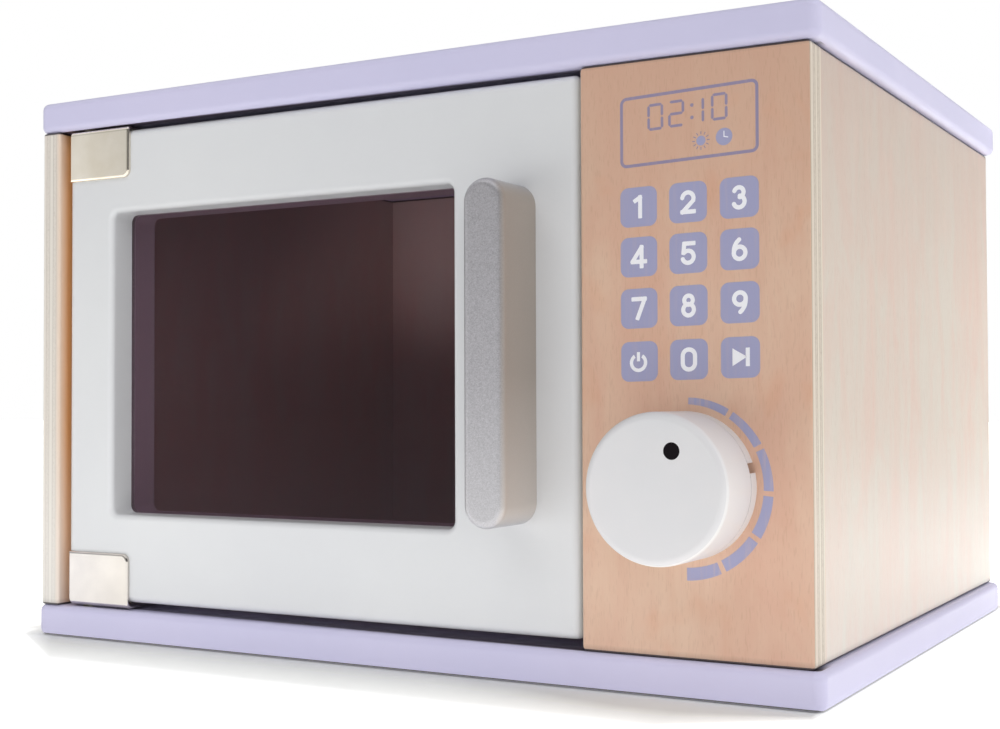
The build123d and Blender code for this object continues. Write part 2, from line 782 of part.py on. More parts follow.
# ---- Dial: a hollow ribbed knob that clicks round a toothed base ring ----
ring_inner = dial_radius - base_notch_depth - base_notch_wall - detent_depth
with BuildPart() as dial_base_ring:
    with BuildSketch(dial_plane(0)):
        Circle(dial_radius)
        Circle(spindle_radius + base_bore_clearance, mode=Mode.SUBTRACT)
    extrude(amount=base_ring_floor)
    with BuildSketch(dial_plane(base_ring_floor)):
        Circle(dial_radius)
        Circle(ring_inner, mode=Mode.SUBTRACT)
        with PolarLocations(ring_inner + detent_depth - detent_radius, detent_count):
            Circle(detent_radius, mode=Mode.SUBTRACT)
    extrude(amount=base_ring_height - base_ring_floor)
    with BuildSketch(dial_plane(0)):
        with PolarLocations(dial_radius - base_notch_depth / 2, 1, start_angle=base_notch_angle):
            Rectangle(base_notch_depth * 2, base_notch_width)
    extrude(amount=base_ring_height, mode=Mode.SUBTRACT)
    with BuildSketch(dial_plane(base_ring_floor)):
        with PolarLocations(base_screw_orbit, 2, start_angle=base_screw_angle):
            Circle(base_screw_head_radius)
    extrude(
        amount=base_screw_radius - base_screw_head_radius, taper=countersink_taper, mode=Mode.SUBTRACT
    )
    with BuildSketch(dial_plane(base_ring_floor)):
        with PolarLocations(base_screw_orbit, 2, start_angle=base_screw_angle):
            Circle(base_screw_radius + press_clearance)
    extrude(amount=-base_ring_floor, mode=Mode.SUBTRACT)
dial_base_ring.part.label = "dial_base_ring"
export_step(dial_base_ring.part, "parts/dial_base_ring.step")

with BuildPart() as dial_base_screws:
    with BuildSketch(dial_plane(base_ring_floor)):
        with PolarLocations(base_screw_orbit, 2, start_angle=base_screw_angle):
            Circle(base_screw_head_radius)
    extrude(amount=base_screw_radius - base_screw_head_radius, taper=countersink_taper)
    with BuildSketch(dial_plane(base_ring_floor)):
        with PolarLocations(base_screw_orbit, 2, start_angle=base_screw_angle):
            Circle(base_screw_radius)
    extrude(amount=press_clearance - base_screw_length)
dial_base_screws.part.label = "dial_base_screws"
export_step(dial_base_screws.part, "parts/dial_base_screws.step")

knob_back = base_ring_height + knob_gap
knob_front = knob_back + knob_length
hub_end = base_ring_floor + hub_end_gap
pawl_back = hub_end
pawl_front = pawl_back + pawl_thickness
rib_back = pawl_front + knob_rib_clearance
with BuildSketch(dial_plane(pawl_back)) as hub_outline:
    Circle(hub_radius + pawl_fit)
    Rectangle(2 * (hub_radius + pawl_fit), 2 * (hub_flat + pawl_fit), mode=Mode.INTERSECT)

with BuildPart() as dial_knob:
    with BuildSketch(dial_plane(knob_back)):
        Circle(dial_radius)
    extrude(amount=knob_length)
    fillet(dial_knob.faces().sort_by(Axis.Y)[0].edges(), knob_round)
    with BuildSketch(dial_plane(knob_back)):
        Circle(dial_radius - knob_wall)
    extrude(amount=knob_length - knob_front_wall, mode=Mode.SUBTRACT)
    with BuildSketch(dial_plane(rib_back)):
        with PolarLocations(dial_radius / 2, knob_rib_count, start_angle=knob_rib_start):
            Rectangle(dial_radius - knob_wall, knob_rib_thickness)
    extrude(amount=knob_front - knob_front_wall - rib_back)
    with BuildSketch(dial_plane(pawl_front)):
        Circle(hub_radius)
    extrude(amount=knob_front - knob_front_wall - pawl_front)
    with BuildSketch(dial_plane(pawl_back)):
        Circle(hub_radius)
        Rectangle(2 * hub_radius, 2 * hub_flat, mode=Mode.INTERSECT)
    extrude(amount=pawl_thickness)
    with BuildSketch(dial_plane(pawl_back)):
        Circle(spindle_radius + press_clearance)
    extrude(amount=spindle_in_knob - spindle_flat_length, mode=Mode.SUBTRACT)
    with BuildSketch(dial_plane(pawl_back + spindle_in_knob - spindle_flat_length)):
        Circle(spindle_radius + press_clearance)
        with Locations((spindle_flat + press_clearance, 0)):
            Rectangle(
                spindle_radius, 2 * hub_radius, align=(Align.MIN, Align.CENTER), mode=Mode.SUBTRACT
            )
    extrude(amount=spindle_flat_length, mode=Mode.SUBTRACT)
    with BuildSketch(dial_plane(knob_front)):
        with PolarLocations(marker_orbit, 1, start_angle=marker_angle):
            Circle(marker_radius + press_clearance)
    extrude(amount=-marker_depth, mode=Mode.SUBTRACT)
dial_knob.part.label = "dial_knob"
export_step(dial_knob.part, "parts/dial_knob.step")

with BuildPart() as dial_marker:
    with BuildSketch(dial_plane(knob_front)):
        with PolarLocations(marker_orbit, 1, start_angle=marker_angle):
            Circle(marker_radius)
    extrude(amount=-marker_depth)
dial_marker.part.label = "dial_marker"
export_step(dial_marker.part, "parts/dial_marker.step")

pawl_tip_orbit = ring_inner + pawl_bite - pawl_tip_radius
pawl_root_orbit = pawl_collar_radius - pawl_arm_width / 2
with BuildPart() as click_pawl:
    with BuildSketch(dial_plane(pawl_back)):
        with BuildLine():
            TangentArc((-pawl_root_orbit, 0), (0, pawl_tip_orbit), tangent=(0, 1))
        trace(line_width=pawl_arm_width)
        with Locations((0, pawl_tip_orbit)):
            Circle(pawl_tip_radius)
        Circle(pawl_collar_radius)
        add(hub_outline.sketch_local, mode=Mode.SUBTRACT)
    extrude(amount=pawl_thickness)
click_pawl.part.label = "click_pawl"
export_step(click_pawl.part, "parts/click_pawl.step")

# ---- Spindle: turns in a flanged bush and is held behind the panel by a clip ring ----
spindle_front = hub_end + spindle_in_knob
bush_back = -control_thickness - dial_bush_flange
washer_back = bush_back - running_clearance - dial_washer_thickness
ring_back = washer_back - clip_ring_thickness
with BuildPart() as dial_spindle:
    with BuildSketch(dial_plane(ring_back - spindle_tail)):
        Circle(spindle_radius)
    extrude(amount=spindle_front - spindle_flat_length - ring_back + spindle_tail)
    with BuildSketch(dial_plane(spindle_front - spindle_flat_length)):
        Circle(spindle_radius)
        with Locations((spindle_flat, 0)):
            Rectangle(
                spindle_radius, 2 * spindle_radius, align=(Align.MIN, Align.CENTER), mode=Mode.SUBTRACT
            )
    extrude(amount=spindle_flat_length)
    with BuildSketch(dial_plane(ring_back)):
        Circle(spindle_radius)
        Circle(spindle_radius - spindle_groove_depth, mode=Mode.SUBTRACT)
    extrude(amount=clip_ring_thickness, mode=Mode.SUBTRACT)
    chamfer(
        dial_spindle.faces().sort_by(Axis.Y)[-1].edges(),
        spindle_groove_depth,
    )
dial_spindle.part.label = "dial_spindle"
export_step(dial_spindle.part, "parts/dial_spindle.step")

with BuildPart() as dial_bush:
    with BuildSketch(dial_plane(-control_thickness)):
        Circle(spindle_radius + running_clearance + dial_bush_wall)
    extrude(amount=control_thickness)
    with BuildSketch(dial_plane(bush_back)):
        Circle(dial_bush_flange_radius)
    extrude(amount=dial_bush_flange)
    with BuildSketch(dial_plane(bush_back)):
        Circle(spindle_radius + running_clearance)
    extrude(amount=control_thickness + dial_bush_flange, mode=Mode.SUBTRACT)
dial_bush.part.label = "dial_bush"
export_step(dial_bush.part, "parts/dial_bush.step")

with BuildPart() as dial_washer:
    with BuildSketch(dial_plane(washer_back)):
        Circle(dial_washer_radius)
        Circle(spindle_radius + running_clearance, mode=Mode.SUBTRACT)
    extrude(amount=dial_washer_thickness)
dial_washer.part.label = "dial_washer"
export_step(dial_washer.part, "parts/dial_washer.step")

with BuildPart() as spindle_clip:
    with BuildSketch(dial_plane(ring_back)):
        Circle(clip_ring_radius)
        Circle(spindle_radius - spindle_groove_depth, mode=Mode.SUBTRACT)
        Rectangle(
            2 * clip_ring_radius, clip_ring_mouth, align=(Align.MIN, Align.CENTER), mode=Mode.SUBTRACT
        )
    extrude(amount=clip_ring_thickness)
spindle_clip.part.label = "spindle_clip"
export_step(spindle_clip.part, "parts/spindle_clip.step")

# ---- Turntable: a dished wooden plate turning on a screw and washer ----
plate_bottom = floor_z + table_washer_thickness + table_play
plate_top = plate_bottom + plate_thickness
dish_floor = plate_top - plate_dish
head_seat = dish_floor - table_screw_head_height - table_play
with BuildPart() as turntable_plate:
    with BuildSketch(Plane.XY.offset(plate_bottom)):
        with Locations(cavity_middle):
            Circle(plate_radius)
    extrude(amount=plate_thickness)
    fillet(turntable_plate.edges().filter_by(GeomType.CIRCLE), plate_round)
    with BuildSketch(Plane.XY.offset(plate_top)):
        with Locations(cavity_middle):
            Circle(plate_radius - plate_rim)
    extrude(amount=-plate_dish, mode=Mode.SUBTRACT)
    fillet(
        turntable_plate.faces().filter_by(Axis.Z).sort_by(Axis.Z)[-2].edges(),
        plate_round,
    )
    with BuildSketch(Plane.XY.offset(plate_top)):
        with Locations(cavity_middle):
            Circle(table_screw_head_radius + table_play)
    extrude(amount=head_seat - plate_top, mode=Mode.SUBTRACT)
    with BuildSketch(Plane.XY.offset(plate_bottom)):
        with Locations(cavity_middle):
            Circle(table_screw_radius + plate_bore_clearance)
    extrude(amount=plate_thickness, mode=Mode.SUBTRACT)
turntable_plate.part.label = "turntable_plate"
export_step(turntable_plate.part, "parts/turntable_plate.step")

with BuildPart() as turntable_screw:
    with BuildSketch(Plane.XY.offset(floor_z - table_screw_bite)):
        with Locations(cavity_middle):
            Circle(table_screw_radius)
    extrude(amount=head_seat + table_play - floor_z + table_screw_bite)
    with BuildSketch(Plane.XY.offset(head_seat + table_play)):
        with Locations(cavity_middle):
            Circle(table_screw_head_radius)
    extrude(amount=table_screw_head_height)
    fillet(turntable_screw.faces().sort_by(Axis.Z)[-1].edges(), table_screw_head_round)
turntable_screw.part.label = "turntable_screw"
export_step(turntable_screw.part, "parts/turntable_screw.step")

with BuildPart() as turntable_washer:
    with BuildSketch(Plane.XY.offset(floor_z)):
        with Locations(cavity_middle):
            Circle(table_washer_radius)
            Circle(table_screw_radius + press_clearance, mode=Mode.SUBTRACT)
    extrude(amount=table_washer_thickness)
turntable_washer.part.label = "turntable_washer"
export_step(turntable_washer.part, "parts/turntable_washer.step")
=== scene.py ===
import json
import math

import bmesh
import bpy
from mathutils import Matrix, Vector


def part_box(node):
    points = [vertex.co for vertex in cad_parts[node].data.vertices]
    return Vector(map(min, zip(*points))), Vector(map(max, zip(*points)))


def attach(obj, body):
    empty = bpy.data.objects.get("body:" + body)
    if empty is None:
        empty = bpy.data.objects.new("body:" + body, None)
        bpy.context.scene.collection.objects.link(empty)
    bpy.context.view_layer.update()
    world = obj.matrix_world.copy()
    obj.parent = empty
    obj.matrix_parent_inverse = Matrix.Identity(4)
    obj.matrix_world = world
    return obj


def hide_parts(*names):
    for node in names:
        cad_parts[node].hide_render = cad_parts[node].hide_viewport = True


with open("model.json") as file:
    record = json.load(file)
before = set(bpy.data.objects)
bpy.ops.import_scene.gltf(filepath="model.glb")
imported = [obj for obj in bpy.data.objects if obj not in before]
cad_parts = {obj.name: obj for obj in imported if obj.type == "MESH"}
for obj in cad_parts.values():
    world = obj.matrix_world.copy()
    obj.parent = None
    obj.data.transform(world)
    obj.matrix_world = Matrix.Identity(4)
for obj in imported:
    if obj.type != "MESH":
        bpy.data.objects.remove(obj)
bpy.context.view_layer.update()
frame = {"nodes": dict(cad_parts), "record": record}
nodes = frame["nodes"]

MM = 0.001


# ---------------------------------------------------------------- colours

def srgb(red, green, blue):
    """A colour written as 0 to 255, as a linear colour for a shader."""
    def linear(level):
        share = level / 255
        return share / 12.92 if share <= 0.04045 else ((share + 0.055) / 1.055) ** 2.4
    return (linear(red), linear(green), linear(blue), 1.0)


BLACK = (0, 0, 0, 1)
WHITE = (1, 1, 1, 1)

LAVENDER = srgb(218, 214, 243)
LAVENDER_SHADE = srgb(213, 210, 240)
DOOR_WHITE = srgb(229, 230, 232)
DOOR_WHITE_SHADE = srgb(224, 225, 228)
GAP_SHADE = srgb(40, 16, 34)
CONTACT_SHADE = srgb(34, 28, 34)

CASE_BEIGE = srgb(214, 202, 188)
CASE_PINK = srgb(219, 190, 175)
CASE_STREAK = srgb(204, 181, 165)
# Painted shade for the top of the case sheets.
CASE_TOP_SHADE = srgb(197, 177, 164)
CONTROL_PALE = srgb(224, 190, 166)
CONTROL_ROSE = srgb(219, 176, 153)
CONTROL_STREAK = srgb(205, 157, 130)
# Painted shade for the top of the control panel.
CONTROL_TOP_SHADE = srgb(203, 163, 141)
CONTROL_BLOTCH = srgb(216, 157, 123)
FLECK = srgb(166, 120, 92)
EDGE_PINK = srgb(224, 210, 194)
EDGE_CREAM = srgb(221, 212, 195)
CORE_LIGHT = srgb(211, 197, 180)
CORE_DARK = srgb(198, 183, 164)
GLUE_LINE = srgb(150, 124, 100)
# Painted bounce light in the gap beside the door: pale at its front, orange deeper in.
GAP_BOUNCE_PALE = srgb(232, 208, 188)
GAP_BOUNCE_ORANGE = srgb(240, 176, 116)
JOINT_SHADE = srgb(34, 24, 30)
# Painted sheen: the white that sheets gain near the floor.
FLOOR_SHEEN_WHITE = (1, 0.99, 0.97, 1)
BEECH_LIGHT = srgb(222, 186, 150)
BEECH_DARK = srgb(198, 156, 118)
BEECH_RAY = srgb(158, 112, 76)

SILVER = srgb(193, 191, 196)
SILVER_DARK = srgb(159, 157, 161)
# Painted light on the handle: a brown reflection of wood on its sides, paler low down.
SILVER_SIDE_REFLECTION = srgb(171, 159, 146)
SILVER_SIDE_REFLECTION_LOW = srgb(214, 205, 196)
# Painted reflection in the nickel: greyer low down, brighter and warmer high up, greyer at the right.
NICKEL_LOW_REFLECTION_DARK = srgb(203, 198, 196)
NICKEL_LOW_REFLECTION = srgb(213, 208, 205)
NICKEL_HIGH_REFLECTION_DARK = srgb(240, 231, 214)
NICKEL_HIGH_REFLECTION = srgb(250, 243, 230)
NICKEL_RIGHT_REFLECTION = srgb(206, 198, 184)
ZINC_DARK = srgb(176, 178, 182)
ZINC = srgb(206, 206, 204)

ACRYLIC_TINT = (0.84, 0.75, 0.80, 1.0)
ACRYLIC_PLUM = srgb(31, 18, 23)
ACRYLIC_RED = srgb(36, 20, 26)
KNOB_WHITE = srgb(227, 225, 227)
KNOB_WHITE_SHADE = srgb(222, 222, 225)
# Painted bounce light from the floor on the knob's sides.
KNOB_PAINTED_BOUNCE = (0.98, 0.97, 0.95, 1)
MARKER_BLACK = srgb(20, 14, 19)
MARKER_BLACK_SHADE = srgb(15, 10, 14)
NYLON = srgb(226, 222, 210)
NYLON_SHADE = srgb(218, 213, 200)
PRINT_INK = srgb(163, 163, 197)
DISPLAY_INK = srgb(148, 139, 168)
PRINT_WHITE = srgb(248, 248, 254)
FLOOR_TONE = srgb(236, 237, 234)


# ---------------------------------------------------------------- shader maths

NOISE_SPAN = (0.3, 0.7)
ROUGHNESS_SPAN = 0.1


class Value:
    """A shader socket that takes part in Python arithmetic."""

    def __init__(self, tree, socket):
        self.tree = tree
        self.socket = socket

    def node(self, kind, settings=None, sockets=None, output=0):
        """A new node: its type, its settings, then the values or links of its sockets."""
        made = self.tree.nodes.new("ShaderNode" + kind)
        for name, setting in (settings or {}).items():
            setattr(made, name, setting)
        for name, value in (sockets or {}).items():
            if isinstance(value, Value):
                self.tree.links.new(value.socket, made.inputs[name])
            else:
                made.inputs[name].default_value = value
        return Value(self.tree, made.outputs[output])

    def maths(self, operation, *values):
        return self.node("Math", {"operation": operation}, dict(enumerate(values)))

    def __add__(self, other):
        return self.maths("ADD", self, other)

    __radd__ = __add__

    def __sub__(self, other):
        return self.maths("SUBTRACT", self, other)

    def __rsub__(self, other):
        return self.maths("SUBTRACT", other, self)

    def __mul__(self, other):
        return self.maths("MULTIPLY", self, other)

    __rmul__ = __mul__

    def __truediv__(self, other):
        return self.maths("DIVIDE", self, other)

    def __lt__(self, other):
        return self.maths("LESS_THAN", self, other)

    def __gt__(self, other):
        return self.maths("GREATER_THAN", self, other)

    def floor(self):
        return self.maths("FLOOR", self)

    def fraction(self):
        return self.maths("FRACT", self)

    def at_least(self, other):
        """The larger of this value and another."""
        return self.maths("MAXIMUM", self, other)

    def over(self, low, high):
        """0 at low or less, 1 at high or more, straight between."""
        return self.node("MapRange", {"clamp": True}, {0: self, 1: low, 2: high, 3: 0.0, 4: 1.0})

    def mix(self, first, second):
        """The first colour where this value is 0, the second where it is 1."""
        return self.node("Mix", {"data_type": "RGBA"}, {0: self, 6: first, 7: second}, output=2)

    def mixed(self, share, other):
        """This colour with a fixed share of another."""
        return self.node("Mix", {"data_type": "RGBA"}, {0: share, 6: self, 7: other}, output=2)

    def tones(self, first, second):
        """This noise as soft patches of two colours."""
        return self.over(*NOISE_SPAN).mix(first, second)

    def axes(self):
        """This vector's X, Y and Z, each a value of its own."""
        return [self.node("SeparateXYZ", None, {0: self}, output=axis) for axis in range(3)]


class Finish:
    """One procedural material, read from the piece's own coordinates in metres."""

    def __init__(self, name, roughness=0.5, metallic=0.0, specular=0.5, coat=0.0, coat_roughness=0.1):
        self.material = bpy.data.materials.new(name)
        self.material.use_nodes = True
        self.tree = self.material.node_tree
        self.shader = self.tree.nodes["Principled BSDF"]
        self.set("Roughness", roughness)
        self.set("Metallic", metallic)
        self.set("Specular IOR Level", specular)
        self.set("Coat Weight", coat)
        self.set("Coat Roughness", coat_roughness)
        self.place = Value(self.tree, None).node("TexCoord", output="Object")

    def set(self, name, value):
        """A fixed value, or a link, on the shader's own socket."""
        if isinstance(value, Value):
            self.tree.links.new(value.socket, self.shader.inputs[name])
        else:
            self.shader.inputs[name].default_value = value

    def axes(self):
        """Where a point of the surface is: its X, Y and Z."""
        return self.place.axes()

    def facing(self):
        """Where a point of the surface looks to: its normal's X, Y and Z."""
        return self.place.node("TexCoord", output="Normal").axes()

    def noise(self, waves, detail=2.0, roughness=0.5, distortion=0.0):
        """Even noise about 0.5, with this many waves a metre: one number, or one for each axis."""
        place, scale = self.place, waves
        if isinstance(waves, tuple):
            place, scale = self.place.node("Mapping", None, {"Vector": self.place, "Scale": waves}), 1.0
        return self.place.node(
            "TexNoise",
            None,
            {
                "Vector": place,
                "Scale": scale,
                "Detail": detail,
                "Roughness": roughness,
                "Distortion": distortion,
            },
        )

    def uneven(self, noise, low, span=ROUGHNESS_SPAN):
        """A roughness that follows noise, from low to low and span."""
        self.set("Roughness", noise * span + low)

    def bump(self, height, depth, strength=1.0):
        """Relief: height runs from 0 to 1 and stands for depth metres."""
        made = self.place.node("Bump", None, {"Height": height, "Distance": depth, "Strength": strength})
        self.set("Normal", made)


# ---------------------------------------------------------------- finishes

# A share is a part of 1. A span is where a noise starts to show and where it shows in full, and a run is the
# same for a place in metres. FLAT is how straight up or down a flat face looks.
FLAT = 0.97
RIGHT_FACING = (0.3, 0.7)
CONTACT_LINE = 0.8 * MM
CONTACT_THINNER = 0.6
GAP_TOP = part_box("top_board")[0].z - 1.0 * MM
GAP_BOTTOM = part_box("bottom_board")[1].z + 1.0 * MM
GAP_FRONT, GAP_MIDDLE, GAP_END = (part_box("top_board")[0].y + run * MM for run in (2.5, 5.0, 14.0))
GAP_LEAN = 0.025
GAP_STRENGTH = 0.93


def painted_board(name, colour, shade, roughness):
    """Sprayed satin paint on board: a faint orange peel and slow changes of tone, with painted shade: a dark
    line where it meets the floor, and shade on the strips of the boards that look into the gaps over and
    under the door.
    """
    finish = Finish(name, coat=0.12, coat_roughness=0.25)
    paint = finish.noise(waves=14.0, detail=3.0).tones(shade, colour)
    across, depth, height = finish.axes()
    right, _, level = finish.facing()
    # Painted shadow: a dark line along the foot of the board, thinner on faces that look to the right.
    contact = (height < CONTACT_LINE * (1 - right.over(*RIGHT_FACING) * CONTACT_THINNER)) * (level > -FLAT)
    # Painted shadow on the strips of the boards that look into the gaps over and under the door.
    lean = across * GAP_LEAN
    above = (level < -FLAT) * (height > GAP_TOP) * (depth - lean).over(GAP_FRONT, GAP_MIDDLE)
    below = (level > FLAT) * (height < GAP_BOTTOM) * (depth + lean).over(GAP_FRONT, GAP_MIDDLE)
    paint = ((above + below) * depth.over(GAP_END, GAP_MIDDLE) * GAP_STRENGTH).mix(paint, GAP_SHADE)
    finish.set("Base Color", contact.mix(paint, CONTACT_SHADE))
    finish.uneven(finish.noise(waves=45.0), low=roughness - ROUGHNESS_SPAN / 2)
    finish.bump(finish.noise(waves=620.0, detail=1.5), depth=0.04 * MM)
    return finish.material


WOOD_NOISE = {
    # name: (waves a metre along X, Y and Z, detail, roughness, distortion)
    "patches": ((60, 60, 20), 4.0, 0.62, 0.9),
    "growth": ((26, 26, 4), 2.0, 0.5, 0.7),
    "streaks": ((150, 150, 16), 4.0, 0.62, 0.4),
    "fibres": ((1700, 1700, 70), 2.0, 0.6, 0.0),
    "dashes": ((3000, 3000, 380), 0.0, 0.5, 0.0),
    "blotches": ((75, 75, 48), 2.0, 0.5, 0.4),
    "ends": ((1300, 1300, 900), 2.0, 0.5, 0.0),
}
PATCH_SHARE = 0.55
PATCH_SPAN = (0.4, 0.6)
STREAK_SHARE = 0.75
STREAK_SPAN = (0.46, 0.7)
TOP_SHADE_STRENGTH = 0.6
TOP_SHADE_REACH = 70.0 * MM
BLOTCH_SHARE = 0.3
BLOTCH_SPAN = (0.56, 0.72)
DASH_SHARE = 0.13
DASH_SPAN = (0.62, 0.76)
EDGE_SPAN = (0.35, 0.65)
CORE_SPAN = (0.4, 0.66)
PORE_SHARE = 0.3
PORE_SPAN = (0.66, 0.74)
PLIES = 5
VENEER_SKIN = 0.2 * MM
GLUE_WIDTH = 0.15
GLUE_LEAST = 0.55
GLUE_MORE = 0.3
GLUE_SPAN = (0.4, 0.6)
INNER_PLY = (PLIES - 1.2, PLIES - 0.1)
GAP_RUN = (0.5 * MM, 5.0 * MM)
GAP_REACH = 20.0 * MM
FLOOR_SHEEN_RUN = (0.08, 0.018)
JOINT_LINE = 0.8 * MM
JOINT_SHARE = 0.95
TOP_SHADE_RUN = 1.6 * MM
TOP_SHADE_SHARE = 0.35
BOTTOM_SHADE_RUN = 2.5 * MM
BOTTOM_SHADE_SHARE = 0.4


def birch_plywood(name, across, low, high, tones, grain, pale, painted_floor_sheen, painted_gap_bounce):
    """Birch plywood: upright grain in soft uneven patches, short dark dashes, and its plies along its edges.

    across is the axis that the plies are stacked along, and low and high are the sheet's corners.
    tones are the colours of the patches, two of them, of the streaks, of painted shade towards the top, and
    of the blotches.
    grain is the strength of the streaks, and pale the share of white in the edges. The next is the share of
    white, a painted sheen of the floor, that the sheet gains towards its bottom, and the last, when set,
    paints bounce light on the inner face in the gap beside the door: pale at its front, orange deeper in.
    """
    finish = Finish(name, coat=0.28, coat_roughness=0.3)
    axes = finish.axes()
    height = axes[2]
    patches, growth, streaks, fibres, dashes, blotches, ends = (
        finish.noise(*look) for look in WOOD_NOISE.values()
    )
    beige, pink, streak, top, blotch = tones
    face = (patches * PATCH_SHARE + growth * (1 - PATCH_SHARE)).over(*PATCH_SPAN).mix(beige, pink)
    lines = streaks * STREAK_SHARE + fibres * (1 - STREAK_SHARE)
    face = (lines.over(*STREAK_SPAN) * grain).mix(face, streak)
    # Painted shade: the sheet grows darker towards its top.
    face = (height.over(high.z - TOP_SHADE_REACH, high.z) * TOP_SHADE_STRENGTH).mix(face, top)
    face = (blotches.over(*BLOTCH_SPAN) * BLOTCH_SHARE).mix(face, blotch)
    face = (dashes.over(*DASH_SPAN) * DASH_SHARE).mix(face, FLECK)

    ply = (high[across] - low[across]) / PLIES
    depth = (axes[across] - low[across]) / ply
    skin = VENEER_SKIN / ply
    inside = (depth > skin) * (depth < PLIES - skin)
    crossed = (depth.floor() / 2).fraction() > 0.25
    glue = depth.fraction() < GLUE_WIDTH
    lengthwise = streaks.over(*EDGE_SPAN).mix(EDGE_PINK, EDGE_CREAM)
    edge = crossed.mix(lengthwise, ends.over(*CORE_SPAN).mix(CORE_LIGHT, CORE_DARK))
    edge = (ends.over(*PORE_SPAN) * crossed * PORE_SHARE).mix(edge, GLUE_LINE)
    edge = (glue * (streaks.over(*GLUE_SPAN) * GLUE_MORE + GLUE_LEAST)).mix(edge, GLUE_LINE)
    colour = inside.mix(face, edge.mixed(pale, WHITE))

    # Painted bounce light on the inner face in the door's gap: pale at its front, orange deeper in.
    if painted_gap_bounce:
        start, end = (low.y + run for run in GAP_RUN)
        inner = depth.over(*INNER_PLY) * (axes[1] < low.y + GAP_REACH)
        colour = inner.mix(colour, axes[1].over(start, end).mix(GAP_BOUNCE_PALE, GAP_BOUNCE_ORANGE))
    # Painted sheen of the floor: the sheet whitens towards its bottom.
    colour = (height.over(*FLOOR_SHEEN_RUN) * painted_floor_sheen).mix(colour, FLOOR_SHEEN_WHITE)
    joint = (height < low.z + JOINT_LINE) + (height > high.z - JOINT_LINE)
    shade = height.over(high.z - TOP_SHADE_RUN, high.z) * TOP_SHADE_SHARE
    shade = shade + height.over(low.z + BOTTOM_SHADE_RUN, low.z) * BOTTOM_SHADE_SHARE
    finish.set("Base Color", shade.at_least(joint * JOINT_SHARE).mix(colour, JOINT_SHADE))
    finish.uneven(streaks, low=0.42, span=0.16)
    finish.bump(streaks * 0.2 + dashes * 0.4, depth=0.04 * MM, strength=0.5)
    return finish.material


RAY_SHARE = 0.6


def solid_beech(name):
    """Plain beech: pinkish brown with short dark rays."""
    finish = Finish(name)
    streaks = finish.noise(waves=(60, 420, 420), detail=4.0)
    rays = finish.noise(waves=(380, 2600, 2600), detail=0.0)
    wood = streaks.over(*EDGE_SPAN).mix(BEECH_LIGHT, BEECH_DARK)
    finish.set("Base Color", (rays.over(*PORE_SPAN) * RAY_SHARE).mix(wood, BEECH_RAY))
    finish.uneven(streaks, low=0.42, span=0.15)
    finish.bump(rays, depth=0.04 * MM)
    return finish.material


ACRYLIC_BODY = 0.2


def smoked_acrylic(name):
    """Clear polished sheet with a dark plum tint: most light passes each face, coloured; the rest shines."""
    finish = Finish(name, roughness=0.035)
    finish.set("Base Color", finish.noise(waves=9.0, detail=1.0).tones(ACRYLIC_RED, ACRYLIC_PLUM))
    clear = finish.place.node("BsdfTransparent", None, {"Color": ACRYLIC_TINT})
    shine = Value(finish.tree, finish.shader.outputs[0])
    sheet = clear.node("MixShader", None, {0: ACRYLIC_BODY, 1: clear, 2: shine})
    finish.tree.links.new(sheet.socket, finish.tree.nodes["Material Output"].inputs["Surface"])
    return finish.material


FLAKES = 3600.0
FLAKE_SHARE = 0.45
HANDLE_SHEEN_RUN = (0.1, 0.055)
HANDLE_LOW_SHEEN = 0.14
HANDLE_SIDE_REFLECTION = 0.8
SIDE_FACING = (0.35, 0.95)
GLINT_SPAN = (0.2, 0.85)
METAL_IN_FRONT = 0.7
METAL_LESS = 0.4


def silver_flake(name):
    """Silver flake paint, less metallic at the sides; painted light: a brown reflection on the sides, paler
    low down.
    """
    finish = Finish(name, coat=0.1, coat_roughness=0.35)
    cells = {"Vector": finish.place, "Scale": FLAKES}
    flakes = finish.place.node("TexVoronoi", {"feature": "F1"}, cells, output="Color")
    flake = finish.place.node("SeparateColor", None, {0: flakes})
    grains = finish.noise(waves=2200.0)
    glint = flake * FLAKE_SHARE + grains * (1 - FLAKE_SHARE)
    side = finish.facing()[0].over(*SIDE_FACING)
    # Painted light: paler towards the bottom, and a brown painted reflection of the wood on the sides.
    low = finish.axes()[2].over(*HANDLE_SHEEN_RUN)
    silver = glint.over(*GLINT_SPAN).mix(SILVER_DARK, SILVER)
    silver = (low * HANDLE_LOW_SHEEN).mix(silver, WHITE)
    thin = low.mix(SILVER_SIDE_REFLECTION, SILVER_SIDE_REFLECTION_LOW)
    finish.set("Base Color", (side * HANDLE_SIDE_REFLECTION).mix(silver, thin))
    finish.set("Metallic", METAL_IN_FRONT - side * METAL_LESS)
    finish.uneven(flake, low=0.3, span=0.14)
    finish.bump(grains, depth=0.03 * MM, strength=0.7)
    return finish.material


CLIP_REFLECTION_RISE = (0.05, 0.15)
CLIP_REFLECTION_RUN = (-0.138, -0.114)
CLIP_RIGHT_REFLECTION_SHARE = 0.35


